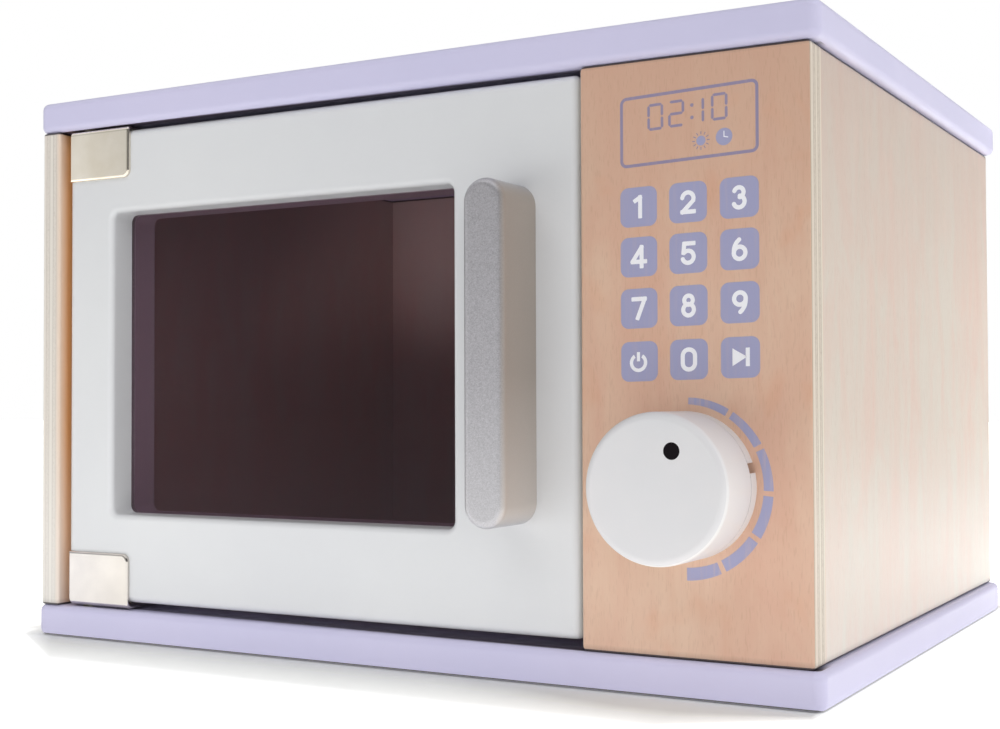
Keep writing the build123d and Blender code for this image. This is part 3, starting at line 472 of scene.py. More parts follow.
def bright_nickel(name):
    """Polished nickel plate with a slightly uneven shine, and painted reflection: warmer high up, greyer to
    the right.
    """
    finish = Finish(name, metallic=1.0)
    cloud = finish.noise(waves=90.0)
    scuffs = finish.noise(waves=1400.0)
    across, _, height = finish.axes()
    # Painted reflection: the upper clip brighter and warmer than the lower one, and each greyer towards its
    # right.
    lower = cloud.tones(NICKEL_LOW_REFLECTION_DARK, NICKEL_LOW_REFLECTION)
    upper = cloud.tones(NICKEL_HIGH_REFLECTION_DARK, NICKEL_HIGH_REFLECTION)
    plate = height.over(*CLIP_REFLECTION_RISE).mix(lower, upper)
    finish.set("Base Color", (across.over(*CLIP_REFLECTION_RUN) * CLIP_RIGHT_REFLECTION_SHARE).mix(plate, NICKEL_RIGHT_REFLECTION))
    finish.uneven(scuffs, low=0.12, span=0.08)
    finish.bump(cloud * 0.8 + scuffs * 0.2, depth=0.02 * MM, strength=0.5)
    return finish.material


def zinc_steel(name):
    """Zinc-plated steel, as on small screws and pins."""
    finish = Finish(name, metallic=1.0)
    cloud = finish.noise(waves=900.0, detail=3.0)
    finish.set("Base Color", cloud.tones(ZINC_DARK, ZINC))
    finish.uneven(cloud, low=0.25, span=0.2)
    finish.bump(cloud, depth=0.03 * MM)
    return finish.material


FRONT_EDGE = -0.6
PAINTED_BOUNCE_RUN = (0.085, 0.05)


def moulded_plastic(name, colour, shade, roughness, specular=0.5, coat=0.1, pale=0.0):
    """Moulded plastic with the fine texture of its tool.

    pale is the share of white, painted bounce light from the floor, that whatever doesn't face the front
    gains low down.
    """
    finish = Finish(name, specular=specular, coat=coat, coat_roughness=0.2)
    plastic = finish.noise(waves=40.0).tones(shade, colour)
    if pale:
        # Painted bounce light: faces that don't look to the front grow whiter low down.
        side = (finish.facing()[1] > FRONT_EDGE) * finish.axes()[2].over(*PAINTED_BOUNCE_RUN)
        plastic = (side * pale).mix(plastic, KNOB_PAINTED_BOUNCE)
    finish.set("Base Color", plastic)
    finish.uneven(finish.noise(waves=300.0), low=roughness - ROUGHNESS_SPAN / 2)
    finish.bump(finish.noise(waves=1800.0, detail=1.0), depth=0.02 * MM)
    return finish.material


WEAR_SPAN = (0.5, 0.75)


def printed_ink(name, colour, patchy):
    """Ink laid on the wood through a screen: thinner along the grain's pores."""
    finish = Finish(name)
    wear = finish.noise(waves=(900, 900, 60), detail=3.0)
    finish.set("Base Color", (wear.over(*WEAR_SPAN) * patchy).mix(colour, CONTROL_PALE))
    finish.uneven(wear, low=0.45, span=0.15)
    finish.bump(wear, depth=0.02 * MM)
    return finish.material


CASE_TONES = (CASE_BEIGE, CASE_PINK, CASE_STREAK, CASE_TOP_SHADE, CASE_PINK)
CONTROL_TONES = (CONTROL_PALE, CONTROL_ROSE, CONTROL_STREAK, CONTROL_TOP_SHADE, CONTROL_BLOTCH)
PLY_SHEETS = {
    # name: (axis its plies stack along, tones, grain, white in its edges, painted floor sheen low down,
    # painted gap bounce)
    "left_side_panel": (0, CASE_TONES, 0.15, 0.36, 0.3, True),
    "right_side_panel": (0, CASE_TONES, 0.15, 0.0, 0.27, False),
    "partition": (0, CASE_TONES, 0.15, 0.0, 0.0, False),
    "back_panel": (1, CASE_TONES, 0.15, 0.0, 0.2, False),
    "control_panel": (1, CONTROL_TONES, 0.26, 0.0, 0.0, False),
}
plywoods = {
    sheet: birch_plywood(sheet + "_birch", across, *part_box(sheet), *looks)
    for sheet, (across, *looks) in PLY_SHEETS.items()
}
steel = zinc_steel("zinc_steel")
SLOT_MATERIALS = {
    "lavender_paint": painted_board("lavender_paint", LAVENDER, LAVENDER_SHADE, roughness=0.42),
    "white_paint": painted_board("door_white_paint", DOOR_WHITE, DOOR_WHITE_SHADE, roughness=0.38),
    "smoked_acrylic": smoked_acrylic("smoked_acrylic"),
    "silver_paint": silver_flake("silver_flake_paint"),
    "nickel": bright_nickel("bright_nickel"),
    "steel": steel,
    "white_plastic": moulded_plastic(
        "knob_white_plastic", KNOB_WHITE, KNOB_WHITE_SHADE, roughness=0.36, pale=0.6
    ),
    "black_plastic": moulded_plastic(
        "marker_black_plastic", MARKER_BLACK, MARKER_BLACK_SHADE, roughness=0.5, specular=0.08, coat=0.0
    ),
    "nylon": moulded_plastic("natural_nylon", NYLON, NYLON_SHADE, roughness=0.45),
    "beech": solid_beech("beech"),
}
key_ink = printed_ink("print_ink", PRINT_INK, patchy=0.1)
scale_ink = printed_ink("scale_print_ink", PRINT_INK, patchy=0.3)
display_ink = printed_ink("display_ink", DISPLAY_INK, patchy=0.12)
white_ink = printed_ink("print_white_ink", PRINT_WHITE, patchy=0.06)

for part in frame["record"]["subparts"]:
    name = part["node"]
    mesh = nodes[name].data
    mesh.materials.clear()
    mesh.materials.append(plywoods.get(name) or SLOT_MATERIALS[part["material_slot"]])


# ---------------------------------------------------------------- meshes

WELD = 0.001


def joined(name, shapes, material):
    """Shapes made into one object of the scene."""
    whole = bmesh.new()
    for shape in shapes:
        mesh = bpy.data.meshes.new(name)
        shape.to_mesh(mesh)
        shape.free()
        whole.from_mesh(mesh)
        bpy.data.meshes.remove(mesh)
    mesh = bpy.data.meshes.new(name)
    whole.to_mesh(mesh)
    whole.free()
    mesh.materials.append(material)
    piece = bpy.data.objects.new(name, mesh)
    bpy.context.scene.collection.objects.link(piece)
    return piece


def finished(name, shapes, material, body):
    """Shapes made into one piece that rides on a body."""
    piece = joined(name, shapes, material)
    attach(piece, body)
    return piece


def new_verts(made):
    """The vertices among what a bmesh operator made."""
    return [item for item in made["geom"] if isinstance(item, bmesh.types.BMVert)]


# ---------------------------------------------------------------- cross-head screws

SCREWS = {
    # node: (body, axis it points along, 1 or -1 for the end where the head is,
    #        head radius, head height and shank radius in millimetres, sunk)
    "handle_screws": ("door", 1, 1, 3.8, 2.4, 2.0, False),
    "hinge_clip_screws": ("door", 1, 1, 2.8, 1.6, 1.5, False),
    "strike_screw": ("door", 1, 1, 2.6, 1.2, 1.4, True),
    "catch_screws": ("cabinet", 0, -1, 3.2, 1.6, 1.6, True),
    "turntable_screw": ("cabinet", 2, 1, 5.0, 2.6, 2.5, False),
}
SCREW_SEGMENTS = 36
RECESS_CELLS = 3
RECESS_SHARE = 0.5
RECESS_DEPTH = 0.45
RECESS_TAPER = 0.7
FACE_SHARE = 0.78
# (share of the head's radius, share of its height), from the face's rim down
SUNK_HEAD = [(1.0, 0.0)]
ROUND_HEAD = [(0.93, 0.1), (1.0, 0.3), (1.0, 1.0)]
TIP_SHARE = 0.3
FIRST_TURN = 20
NEXT_TURN = 37
SHARP_ANGLE = 35


def cross_screw(radius, height, shank, length, sunk):
    """A screw whose head's top is at the origin and faces up: a cross recess, the head, then the shank."""
    shape = bmesh.new()
    reach = radius * RECESS_SHARE
    bmesh.ops.create_grid(shape, x_segments=RECESS_CELLS, y_segments=RECESS_CELLS, size=reach)
    corners = [
        face
        for face in shape.faces
        if min(abs(face.calc_center_median()[side]) for side in (0, 1)) > reach / RECESS_CELLS
    ]
    bmesh.ops.delete(shape, geom=corners, context="FACES")
    recess = shape.faces[:]
    rim = [edge for edge in shape.edges if edge.is_boundary]
    bottom = new_verts(bmesh.ops.extrude_face_region(shape, geom=recess))
    bmesh.ops.scale(shape, vec=(RECESS_TAPER, RECESS_TAPER, 1), verts=bottom)
    bmesh.ops.translate(shape, vec=(0, 0, -radius * RECESS_DEPTH), verts=bottom)
    bmesh.ops.delete(shape, geom=recess, context="FACES_ONLY")

    width = radius * FACE_SHARE
    circle = bmesh.ops.create_circle(shape, segments=SCREW_SEGMENTS, radius=width)
    loop = list({edge for vert in circle["verts"] for edge in vert.link_edges})
    bmesh.ops.bridge_loops(shape, edges=rim + loop)
    steps = [(radius * share, height * depth) for share, depth in (SUNK_HEAD if sunk else ROUND_HEAD)]
    steps += [(shank, height), (shank, length - shank), (shank * TIP_SHARE, length)]
    for wider, depth in steps:
        grown = bmesh.ops.extrude_edge_only(shape, edges=loop)
        moved = new_verts(grown)
        edges = [item for item in grown["geom"] if isinstance(item, bmesh.types.BMEdge)]
        loop = [edge for edge in edges if all(vert in moved for vert in edge.verts)]
        bmesh.ops.scale(shape, vec=(wider / width, wider / width, 1), verts=moved)
        bmesh.ops.translate(shape, vec=(0, 0, -depth - moved[0].co.z), verts=moved)
        width = wider
    bmesh.ops.edgeloop_fill(shape, edges=loop)
    bmesh.ops.remove_doubles(shape, verts=shape.verts, dist=WELD)
    bmesh.ops.recalc_face_normals(shape, faces=shape.faces)
    return shape


def screw_middles(low, high, axis, radius):
    """The middles of equal screws in the corners of a box, seen along one axis."""
    spans = []
    for side in range(3):
        first, last = low[side] + radius, high[side] - radius
        spans.append([0.0] if side == axis else [first, last] if last - first > radius else [first])
    return [Vector((x, y, z)) for x in spans[0] for y in spans[1] for z in spans[2]]


def cross_head_screws(node, body, axis, end, radius, height, shank, sunk):
    """Every screw of one node, with a cross recess in its head."""
    low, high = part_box(node)
    outward = Vector([end if side == axis else 0 for side in range(3)])
    upright = outward.to_track_quat("Z", "Y").to_matrix().to_4x4()
    shapes = []
    for index, middle in enumerate(screw_middles(low, high, axis, radius * MM)):
        middle[axis] = high[axis] if end > 0 else low[axis]
        shape = cross_screw(radius, height, shank, (high[axis] - low[axis]) / MM, sunk)
        turn = Matrix.Rotation(math.radians(FIRST_TURN + NEXT_TURN * index), 4, "Z")
        place = Matrix.Translation(middle) @ upright @ turn @ Matrix.Scale(MM, 4)
        bmesh.ops.transform(shape, matrix=place, verts=shape.verts)
        shapes.append(shape)
    piece = finished(node + "_cross_head", shapes, steel, body)
    piece.data.shade_smooth()
    piece.data.set_sharp_from_angle(angle=math.radians(SHARP_ANGLE))
    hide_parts(node)


for screw, values in SCREWS.items():
    cross_head_screws(screw, *values)


# ---------------------------------------------------------------- prints on the control panel

PANEL_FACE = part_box("control_panel")[0].y
PRINT_HEIGHT = 0.05 * MM
FIGURE_HEIGHT = 0.09 * MM
HEIGHT_STEP = 0.004 * MM
KEYS_CLIMB = 0.0215
DISPLAY_CLIMB = 0.036
PEN_CORNER = 0.2
PEN_SEGMENTS = 3
TIP_SEGMENTS = 16
FULL_TURN = 360


def on_panel(x, z, climb=0.0, turn=0.0):
    """Where a flat shape drawn in millimetres lands on the panel.

    x and z are its middle, climb is its rise to the right, and turn is in degrees.
    """
    rising = Matrix.Identity(4)
    rising[1][0] = climb
    place = Matrix.Translation((x * MM, PANEL_FACE, z * MM))
    upright = Matrix.Rotation(math.radians(90), 4, "X")
    turned = Matrix.Rotation(math.radians(turn), 4, "Z")
    return place @ upright @ Matrix.Scale(MM, 4) @ rising @ turned


def inked(shape, place, height=PRINT_HEIGHT):
    """A flat shape laid on the panel and given the thickness of a layer of ink."""
    bmesh.ops.transform(shape, matrix=place, verts=shape.verts)
    bmesh.ops.recalc_face_normals(shape, faces=shape.faces)
    moved = new_verts(bmesh.ops.extrude_face_region(shape, geom=shape.faces[:]))
    bmesh.ops.translate(shape, verts=moved, vec=(0, -height, 0))
    bmesh.ops.recalc_face_normals(shape, faces=shape.faces)
    return shape


def rectangle(width, height, radius=0.0, segments=6):
    """A flat rectangle. Its corners are cut straight with one segment, and rounded with more."""
    shape = bmesh.new()
    size = Matrix.Diagonal((width, height, 1, 1))
    made = bmesh.ops.create_grid(shape, x_segments=1, y_segments=1, size=0.5, matrix=size)
    if radius:
        bmesh.ops.bevel(
            shape,
            geom=made["verts"],
            offset=radius,
            offset_type="OFFSET",
            affect="VERTICES",
            segments=segments,
            profile=0.5,
            material=-1,
        )
    return shape


def outline(width, height, radius, line):
    """The rim of a rounded rectangle, line millimetres wide."""
    shape = rectangle(width, height, radius)
    middle = shape.faces[:]
    bmesh.ops.inset_region(shape, faces=middle, thickness=line, use_boundary=True, use_even_offset=True)
    bmesh.ops.delete(shape, geom=middle, context="FACES")
    return shape


def disc(radius, segments=32):
    """A flat disc, or with few segments a regular figure with a corner at the top."""
    shape = bmesh.new()
    bmesh.ops.create_circle(shape, cap_ends=True, segments=segments, radius=radius)
    return shape


def bent_bar(radius, start, end, width, steps=24):
    """A bar bent round the middle; degrees run anticlockwise from 3 o'clock."""
    shape = bmesh.new()
    ends = [shape.verts.new((radius + side * width / 2, 0, 0)) for side in (1, -1)]
    shape.edges.new(ends)
    bmesh.ops.rotate(shape, verts=ends, matrix=Matrix.Rotation(math.radians(start), 3, "Z"))
    sweep = math.radians(end - start)
    bmesh.ops.spin(shape, geom=shape.verts[:] + shape.edges[:], angle=sweep, steps=steps, axis=(0, 0, 1))
    bmesh.ops.remove_doubles(shape, verts=shape.verts, dist=WELD)
    return shape


def pointing(turn):
    """The flat direction that stands at this many degrees, anticlockwise from 3 o'clock."""
    return Vector((math.cos(math.radians(turn)), math.sin(math.radians(turn))))


def bar_between(start, end, width, radius, segments):
    """A straight bar: its shape, the middle that it takes and its turn in degrees."""
    run = Vector(end) - Vector(start)
    middle = (Vector(start) + Vector(end)) / 2
    turn = math.degrees(math.atan2(run.y, run.x))
    return rectangle(run.length + width, width, radius, segments), middle, turn


def strokes(figure, x, z, climb, width, height):
    """A figure written with a pen; each stroke is a little higher than the last, so that none coincide."""
    made = []
    for stroke in figure:
        if len(stroke) == 2:
            made.append(bar_between(*stroke, width, width * PEN_CORNER, PEN_SEGMENTS))
        else:
            dx, dz, radius, *sweep = stroke
            middle = Vector((dx, dz))
            made.append((bent_bar(radius, *sweep, width), middle, 0))
            if sweep[1] - sweep[0] < FULL_TURN:
                tips = [middle + pointing(turn) * radius for turn in sweep]
                made += [(disc(width / 2, TIP_SEGMENTS), tip, 0) for tip in tips]
    return [
        inked(
            shape,
            on_panel(x + middle.x, z + middle.y + climb * middle.x, climb, turn),
            height + index * HEIGHT_STEP,
        )
        for index, (shape, middle, turn) in enumerate(made)
    ]


# Places and sizes of the prints are in millimetres.
KEY_COLUMNS = (100.25, 116.8, 133.4)
KEY_ROWS = (152.05, 136.4, 120.3, 103.75)
KEY_SIZE = 12.4
KEY_RADIUS = 2.6
KEY_FIGURES = ("1", "2", "3", "4", "5", "6", "7", "8", "9", "power", "0", "play")
PEN = 1.36
FIGURES = {
    # each stroke is a straight one, from end to end, or (middle x, middle z, radius, start, end)
    "1": [((0.55, 3.0), (0.55, -2.95)), ((0.5, 2.95), (-1.1, 2.0))],
    "2": [(0.0, 1.15, 1.85, -28, 172), ((1.6, 0.25), (-1.75, -2.9)), ((-1.8, -2.95), (1.95, -2.95))],
    "3": [(-0.1, 1.5, 1.5, -80, 160), (-0.05, -1.3, 1.75, -158, 82)],
    "4": [((0.95, 3.0), (0.95, -2.95)), ((0.9, 2.95), (-2.1, -1.35)), ((-2.1, -1.5), (2.15, -1.5))],
    "5": [((-1.25, 2.95), (1.75, 2.95)), ((-1.3, 2.9), (-1.55, 0.2)), (-0.05, -1.15, 1.85, -160, 138)],
    "6": [(0.0, -1.15, 1.85, 0, 360), (2.6, -0.6, 4.4, 128, 186)],
    "7": [((-1.9, 2.95), (1.95, 2.95)), ((1.9, 2.9), (-0.45, -2.95))],
    "8": [(0.0, 1.62, 1.4, 0, 360), (0.0, -1.3, 1.75, 0, 360)],
    "9": [(0.0, 1.15, 1.85, 0, 360), (-2.6, 0.6, 4.4, -52, 6)],
}
NOUGHT = (5.4, 7.45, 2.6)
POWER = (-0.3, -0.35)
POWER_RING = (2.4, 122, 418)
POWER_LINE = 1.12
POWER_BAR = (1.05, 2.9)
POWER_RISE = 1.85
PLAY_HEAD = (-0.95, 0.1)
PLAY_RADIUS = 3.1
PLAY_BAR_PLACE = (2.35, 0.1)
PLAY_BAR = (1.3, 5.6)


def key_middle(index):
    """The middle of a key, counted along the rows from the top left one."""
    row, column = divmod(index, len(KEY_COLUMNS))
    x = KEY_COLUMNS[column]
    return x, KEY_ROWS[row] + (x - KEY_COLUMNS[1]) * KEYS_CLIMB


def key_place(index, dx=0.0, dz=0.0, turn=0.0):
    """A place on a key, from its middle."""
    x, z = key_middle(index)
    return on_panel(x + dx, z + dz, KEYS_CLIMB, turn)


def key_pads():
    """The rounded squares of the twelve keys."""
    places = [key_place(index) for index in range(len(KEY_FIGURES))]
    return [inked(rectangle(KEY_SIZE, KEY_SIZE, KEY_RADIUS), place) for place in places]


def key_figures():
    """The plain figures 1 to 9 and 0, a power sign, and a play sign with its bar."""
    made = []
    for index, figure in enumerate(KEY_FIGURES):
        made += strokes(FIGURES.get(figure, []), *key_middle(index), KEYS_CLIMB, PEN, FIGURE_HEIGHT)
    power, nought, play = (KEY_FIGURES.index(figure) for figure in ("power", "0", "play"))
    signs = [
        (outline(*NOUGHT, PEN), key_place(nought)),
        (bent_bar(*POWER_RING, POWER_LINE), key_place(power, *POWER)),
        (rectangle(*POWER_BAR), key_place(power, POWER[0], POWER[1] + POWER_RISE)),
        (disc(PLAY_RADIUS, segments=3), key_place(play, *PLAY_HEAD, turn=-90)),
        (rectangle(*PLAY_BAR), key_place(play, *PLAY_BAR_PLACE)),
    ]
    return made + [inked(shape, place, FIGURE_HEIGHT) for shape, place in signs]


DISPLAY_MIDDLE = (116.9, 176.0)
DISPLAY_SIZE = (45.6, 22.2)
DISPLAY_RADIUS = 2.2
DISPLAY_LINE = 0.95
SEGMENT_WIDTH = 0.82
SEGMENT_CUT = SEGMENT_WIDTH / 2.1
SEGMENT_GAP = 0.1
FIGURE_SIZE = (4.5, 7.5)
FIGURE_BARS = {
    # bars of a figure, from end to end, in halves of its width and height
    "0": [
        ((-1, 1), (1, 1)),
        ((1, 1), (1, 0)),
        ((1, 0), (1, -1)),
        ((-1, -1), (1, -1)),
        ((-1, 0), (-1, -1)),
        ((-1, 1), (-1, 0)),
    ],
    "1": [((0, 1), (0, 0)), ((0, 0), (0, -1))],
    "2": [((-1, 1), (1, 1)), ((1, 1), (1, 0)), ((-1, 0), (1, 0)), ((-1, 0), (-1, -1)), ((-1, -1), (1, -1))],
}
DISPLAY_FIGURES = (("0", -10.8, 3.8), ("2", -3.8, 3.9), ("1", 5.0, 3.9), ("0", 10.3, 4.2))
COLON = ((1.4, 5.8), (1.4, 2.0))
COLON_RADIUS = 0.55
SUN = (4.3, -5.5)
SUN_RADIUS = 1.5
RAYS = 12
RAY_ORBIT = 2.4
RAY_SIZE = (0.9, 0.26)
CLOCK = (11.8, -5.2)
CLOCK_RADIUS = 2.65
CLOCK_HANDS = (((0.0, 0.0), (0.0, 1.6)), ((0.0, 0.0), (1.2, -0.3)))
HAND_WIDTH = 0.3


def display_middle(x, z):
    """Where a place on the display, from its middle, is on the panel."""
    return DISPLAY_MIDDLE[0] + x, DISPLAY_MIDDLE[1] + z + x * DISPLAY_CLIMB


def display_place(x, z, turn=0.0):
    """A place on the display, from its middle, for a shape that follows its climb."""
    return on_panel(*display_middle(x, z), DISPLAY_CLIMB, turn)


def display_print():
    """The display's rim, a time of day in bars, and the sun's rays."""
    made = [inked(outline(*DISPLAY_SIZE, DISPLAY_RADIUS, DISPLAY_LINE), display_place(0, 0))]
    half_width, half_height = (size / 2 for size in FIGURE_SIZE)
    for figure, x, z in DISPLAY_FIGURES:
        for ends in FIGURE_BARS[figure]:
            start, end = (Vector((side * half_width, level * half_height)) for side, level in ends)
            gap = (end - start).normalized() * (SEGMENT_WIDTH / 2 + SEGMENT_GAP)
            shape, middle, turn = bar_between(start + gap, end - gap, SEGMENT_WIDTH, SEGMENT_CUT, segments=1)
            made.append(inked(shape, display_place(x + middle.x, z + middle.y, turn)))
    made += [inked(disc(COLON_RADIUS), display_place(*dot)) for dot in COLON]
    for ray in range(RAYS):
        turn = FULL_TURN * ray / RAYS
        x, z = Vector(SUN) + pointing(turn) * RAY_ORBIT
        made.append(inked(rectangle(*RAY_SIZE), display_place(x, z, turn)))
    return made


def sun_and_clock():
    """The full discs of the display's two small signs."""
    discs = ((SUN_RADIUS, SUN), (CLOCK_RADIUS, CLOCK))
    return [inked(disc(radius), display_place(*place)) for radius, place in discs]


def clock_hands():
    """Two thin hands on the clock's disc."""
    return strokes(CLOCK_HANDS, *display_middle(*CLOCK), DISPLAY_CLIMB, HAND_WIDTH, FIGURE_HEIGHT)


DIAL = (115.5, 65.1)
SCALE_START = 2.2
SCALE_STEP = 30.5
SCALE_END = 179.5
SCALE_PARTS = 6
SCALE_GAP = 3.4
SCALE_INNER = 24.95
SCALE_OUTER = 27.0
SCALE_MIDDLE = (SCALE_INNER + SCALE_OUTER) / 2
SCALE_GROWTH = 1.9
BAR_STEPS = 12


def dial_scale():
    """Six bars round the dial's right side, each a little wider than the last.

    start and end are in degrees, clockwise from 12 o'clock.
    """
    made = []
    for part in range(SCALE_PARTS):
        start = SCALE_START + part * SCALE_STEP + (SCALE_GAP / 2 if part else 0)
        end = SCALE_END if part == SCALE_PARTS - 1 else SCALE_START + (part + 1) * SCALE_STEP - SCALE_GAP / 2
        shape = bent_bar(SCALE_MIDDLE, 90 - end, 90 - start, SCALE_OUTER - SCALE_INNER, BAR_STEPS)
        for vert in shape.verts:
            if vert.co.length > SCALE_MIDDLE:
                turned = math.atan2(vert.co.x, vert.co.y) / math.pi
                vert.co *= 1 + SCALE_GROWTH * turned / SCALE_OUTER
        made.append(inked(shape, on_panel(*DIAL)))
    return made


PRINTS = {
    "key_pads": (key_pads(), key_ink),
    "key_figures": (key_figures(), white_ink),
    "display_print": (display_print(), display_ink),
    "sun_and_clock": (sun_and_clock(), key_ink),
    "clock_hands": (clock_hands(), white_ink),
    "dial_scale": (dial_scale(), scale_ink),
}
for name, (shapes, ink) in PRINTS.items():
    finished(name, shapes, ink, "cabinet")


# ---------------------------------------------------------------- floor, light and camera

# The painted shadow in front, which the floor's glow to the camera leaves round the bottom board over its
# real shadow, reaches less far at the right, where it also starts later. A slope is how quickly the floor
# grows white beside the object and behind it, per metre.
FLOOR_SIZE = 12.0
FLOOR_LIGHT = 0.2
EDGE_GLOW = 0.44
FULL_GLOW_RUN = (0.9, 1.4)
SHADOW_REACH = (0.037, 0.008)
SHADOW_NARROWS = 0.12
SHADOW_START = 0.42
SHADOW_START_RUN = (0.03, 0.1)
SIDE_CONTACT = 3.0 * MM
SIDE_FADE = 8.0 * MM
LEFT_FADE_RUN = (0, 20.0 * MM)
LEFT_FADE_SHARE = 1.3
RIGHT_SLOPE = 400
BEHIND_SLOPE = 60
LEFT_SLOPE = 40
MIRRORED_FLOOR = (0.62, 0.82)
MIRRORED_RUN = (-0.6, -0.38)


def seen_and_mirrored(tree):
    """Whether a ray comes straight from the camera, and whether it comes by a mirror or a clear sheet."""
    path = tree.nodes.new("ShaderNodeLightPath")
    rays = ("Is Camera Ray", "Is Glossy Ray", "Is Transmission Ray")
    seen, glossy, clear = (Value(tree, path.outputs[ray]) for ray in rays)
    return seen, glossy.at_least(clear)


def studio_floor():
    """A pale floor that shows white to the camera and keeps the object's shadow, real and painted.

    It stays dark near the bottom board, a painted shadow in its glow to the camera over the real one, and
    grows white
    with the distance from the bottom board: quickly beside it and behind it, slowly in front of it, over a
    reach that gets shorter towards the right.
    """
    finish = Finish("studio_floor", roughness=0.9, specular=0.0)
    finish.set("Base Color", FLOOR_TONE)
    seen, mirrored = seen_and_mirrored(finish.tree)
    across, depth, _ = finish.axes()
    low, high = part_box("bottom_board")
    long, short = SHADOW_REACH
    reach = long - across.over(SHADOW_NARROWS, high.x) * (long - short)
    start = across.over(*SHADOW_START_RUN) * SHADOW_START
    front = low.y - depth
    left = low.x + SIDE_FADE + front.over(0, long) * long - across
    right = across - high.x + SIDE_CONTACT
    clear = (front / reach - start) / (1 - start) + left.over(*LEFT_FADE_RUN) * LEFT_FADE_SHARE
    for beyond in (right * RIGHT_SLOPE, (depth - high.y) * BEHIND_SLOPE, left * LEFT_SLOPE):
        clear = clear.at_least(beyond)
    # Painted shadow: the glow to the camera is held back near the bottom board.
    glow = clear.over(0, 1) * EDGE_GLOW + clear.over(*FULL_GLOW_RUN) * (1 - EDGE_GLOW)
    dim, bright = MIRRORED_FLOOR
    shone = mirrored * (dim + depth.over(*MIRRORED_RUN) * (bright - dim))
    strength = seen * glow + shone + (1 - seen) * (1 - mirrored) * FLOOR_LIGHT
    finish.set("Emission Color", strength.mix(BLACK, WHITE))
    finish.set("Emission Strength", 1.0)
    shape = bmesh.new()
    bmesh.ops.create_grid(shape, x_segments=1, y_segments=1, size=FLOOR_SIZE / 2)
    floor = joined("floor", [shape], finish.material)


# What mirrors show: the room in front, from its horizon up, and its left, its right and its ceiling.
FRONT_HORIZON = 0.8
FRONT_ABOVE = 0.3
FRONT_RISE = (0.0, 0.25)
FRONT_LEFT = 0.3
FRONT_LEFT_RUN = (0.5, 0.72)
FRONT_RIGHT_DIM = 0.8
FRONT_RIGHT_RUN = (0.1, 0.45)
OVERHEAD = 0.9
OVERHEAD_RISE = (0.5, 0.75)
BACK_ABOVE = 0.45
BACK_RISE = (0.02, 0.4)
FRONT_TO_BACK = (-0.4, 0.4)
# What falls on the object: light from the right, and from behind to the left.
WORLD_RIGHT = 1.52
WORLD_RIGHT_RUN = (0.1, 0.9)
WORLD_BEHIND = 0.8
WORLD_BEHIND_WAY = (-0.6, 0.8)
WORLD_BEHIND_RUN = (0.3, 1.0)


def studio_world():
    """Even white surroundings, dimmer for the light that falls on the object than for what is seen.

    Mirrors show white behind the object, and a greyer room in front that darkens upwards.
    """
    world = bpy.data.worlds.new("studio")
    world.use_nodes = True
    bpy.context.scene.world = world
    tree = world.node_tree
    seen, mirrored = seen_and_mirrored(tree)
    across, depth, height = seen.node("TexCoord", output="Generated").axes()
    front = FRONT_HORIZON - height.over(*FRONT_RISE) * (FRONT_HORIZON - FRONT_ABOVE)
    front = front + (0 - across).over(*FRONT_LEFT_RUN) * FRONT_LEFT
    front = front * (1 - across.over(*FRONT_RIGHT_RUN) * FRONT_RIGHT_DIM)
    front = front + height.over(*OVERHEAD_RISE) * OVERHEAD
    behind = 1 - height.over(*BACK_RISE) * (1 - BACK_ABOVE)
    half = depth.over(*FRONT_TO_BACK)
    reflected = half * behind + (1 - half) * front
    to_right, to_back = WORLD_BEHIND_WAY
    falling = across.over(*WORLD_RIGHT_RUN) * WORLD_RIGHT
    falling = falling + (across * to_right + depth * to_back).over(*WORLD_BEHIND_RUN) * WORLD_BEHIND
    back = tree.nodes["Background"]
    back.inputs["Color"].default_value = WHITE
    strength = seen + (1 - seen) * (mirrored * reflected + (1 - mirrored) * falling)
    tree.links.new(strength.socket, back.inputs["Strength"])


AREA_LAMPS = {
    # name: (place, point it faces, width, height, watts, spread in degrees)
    "softbox_front": ((-0.1, -0.9, 0.9), (0.0, -0.1, 0.1), 0.9, 0.6, 3.52, 180),
    "softbox_low": ((0.3, -0.45, 0.03), (0.05, -0.12, 0.02), 0.5, 0.06, 0.035, 180),
    "softbox_low_left": ((-0.25, -0.4, 0.03), (-0.08, -0.12, 0.02), 0.5, 0.06, 0.155, 180),
    "floor_card": ((0.03, -0.2, 0.003), (0.03, -0.2, 1.0), 0.45, 0.1, 0.1, 180),
    "softbox_top": ((0.0, 0.0, 1.6), (0.0, 0.0, 0.0), 1.6, 1.6, 3.0, 180),
    "window_beam": ((-0.115, -0.06, 0.1), (-0.118, 0.111, 0.178), 0.03, 0.03, 0.0045, 40),
}
SPOT_PLACE = (0.2, 0.1, 0.6)
SPOT_TARGET = (0.36, 0.42, 0.0)
SPOT_WATTS = 41.0
SPOT_CONE = 60
SPOT_RADIUS = 0.1


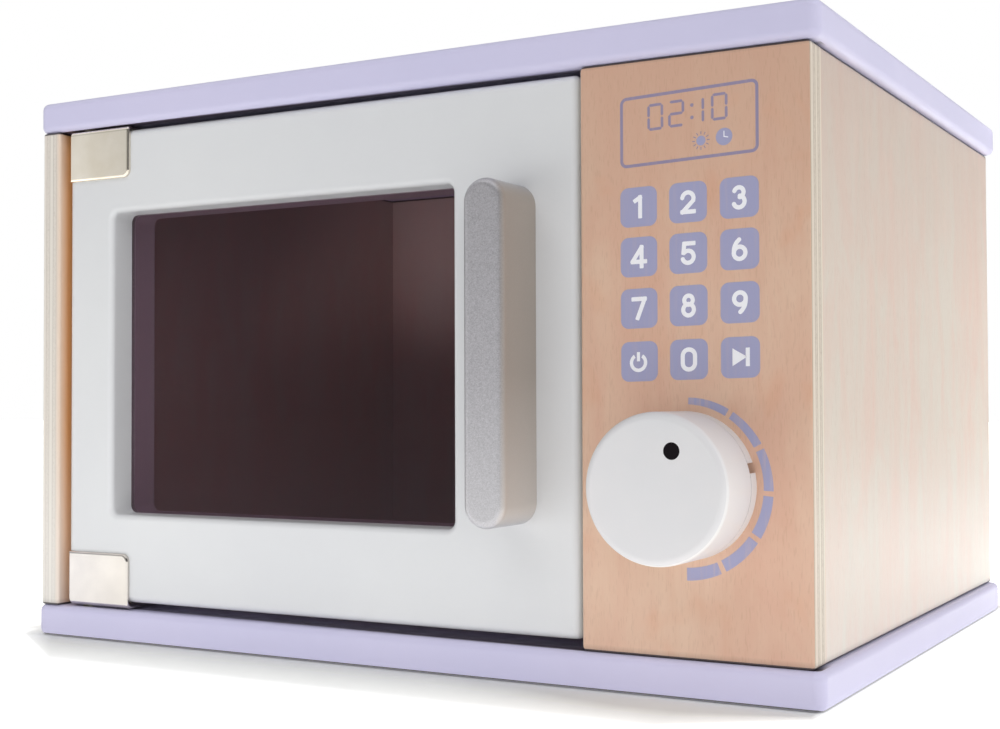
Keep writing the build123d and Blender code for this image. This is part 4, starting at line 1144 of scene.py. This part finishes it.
def place_lamp(name, light, place, target):
    """Stands a lamp in the studio, out of sight of the camera and of mirrors."""
    lamp = bpy.data.objects.new(name, light)
    aim = Vector(target) - Vector(place)
    lamp.matrix_world = Matrix.Translation(place) @ aim.to_track_quat("-Z", "Y").to_matrix().to_4x4()
    lamp.visible_camera = False
    lamp.visible_glossy = False
    bpy.context.scene.collection.objects.link(lamp)


def studio_lamps():
    """Soft light from above and in front, low cards, a window beam, and a spot on the floor behind."""
    for name, (place, target, width, height, watts, spread) in AREA_LAMPS.items():
        light = bpy.data.lights.new(name, "AREA")
        light.shape = "RECTANGLE"
        light.size = width
        light.size_y = height
        light.energy = watts
        light.spread = math.radians(spread)
        place_lamp(name, light, place, target)
    spot = bpy.data.lights.new("floor_spot", "SPOT")
    spot.energy = SPOT_WATTS
    spot.spot_size = math.radians(SPOT_CONE)
    spot.spot_blend = 1.0
    spot.shadow_soft_size = SPOT_RADIUS
    place_lamp("floor_spot", spot, SPOT_PLACE, SPOT_TARGET)


CAMERA_PLACE = (292.13 * MM, -550.43 * MM, 90.80 * MM)
CAMERA_YAW = -29.529
CAMERA_PITCH = 1.451
CAMERA_ROLL = -0.194
CAMERA_LENS = 53.86
SENSOR_WIDTH = 36.0
CLIP_NEAR = 0.01
CLIP_FAR = 50.0


def camera():
    """The camera, turned by its yaw from the depth axis, then by its pitch upwards and its roll."""
    yaw, pitch, roll = (math.radians(angle) for angle in (CAMERA_YAW, CAMERA_PITCH, CAMERA_ROLL))
    forward = Vector((math.sin(yaw) * math.cos(pitch), math.cos(yaw) * math.cos(pitch), math.sin(pitch)))
    right = forward.cross(Vector((0, 0, 1))).normalized()
    up = right.cross(forward)
    tilted_right = right * math.cos(roll) + up * math.sin(roll)
    tilted_up = up * math.cos(roll) - right * math.sin(roll)
    turn = Matrix((tilted_right, tilted_up, -forward)).transposed().to_4x4()
    data = bpy.data.cameras.new("camera")
    data.sensor_width = SENSOR_WIDTH
    data.lens = CAMERA_LENS
    data.clip_start = CLIP_NEAR
    data.clip_end = CLIP_FAR
    made = bpy.data.objects.new("camera", data)
    made.matrix_world = Matrix.Translation(CAMERA_PLACE) @ turn
    bpy.context.scene.collection.objects.link(made)
    bpy.context.scene.camera = made


studio_floor()
studio_world()
studio_lamps()
camera()
bpy.context.scene.view_settings.view_transform = "Standard"
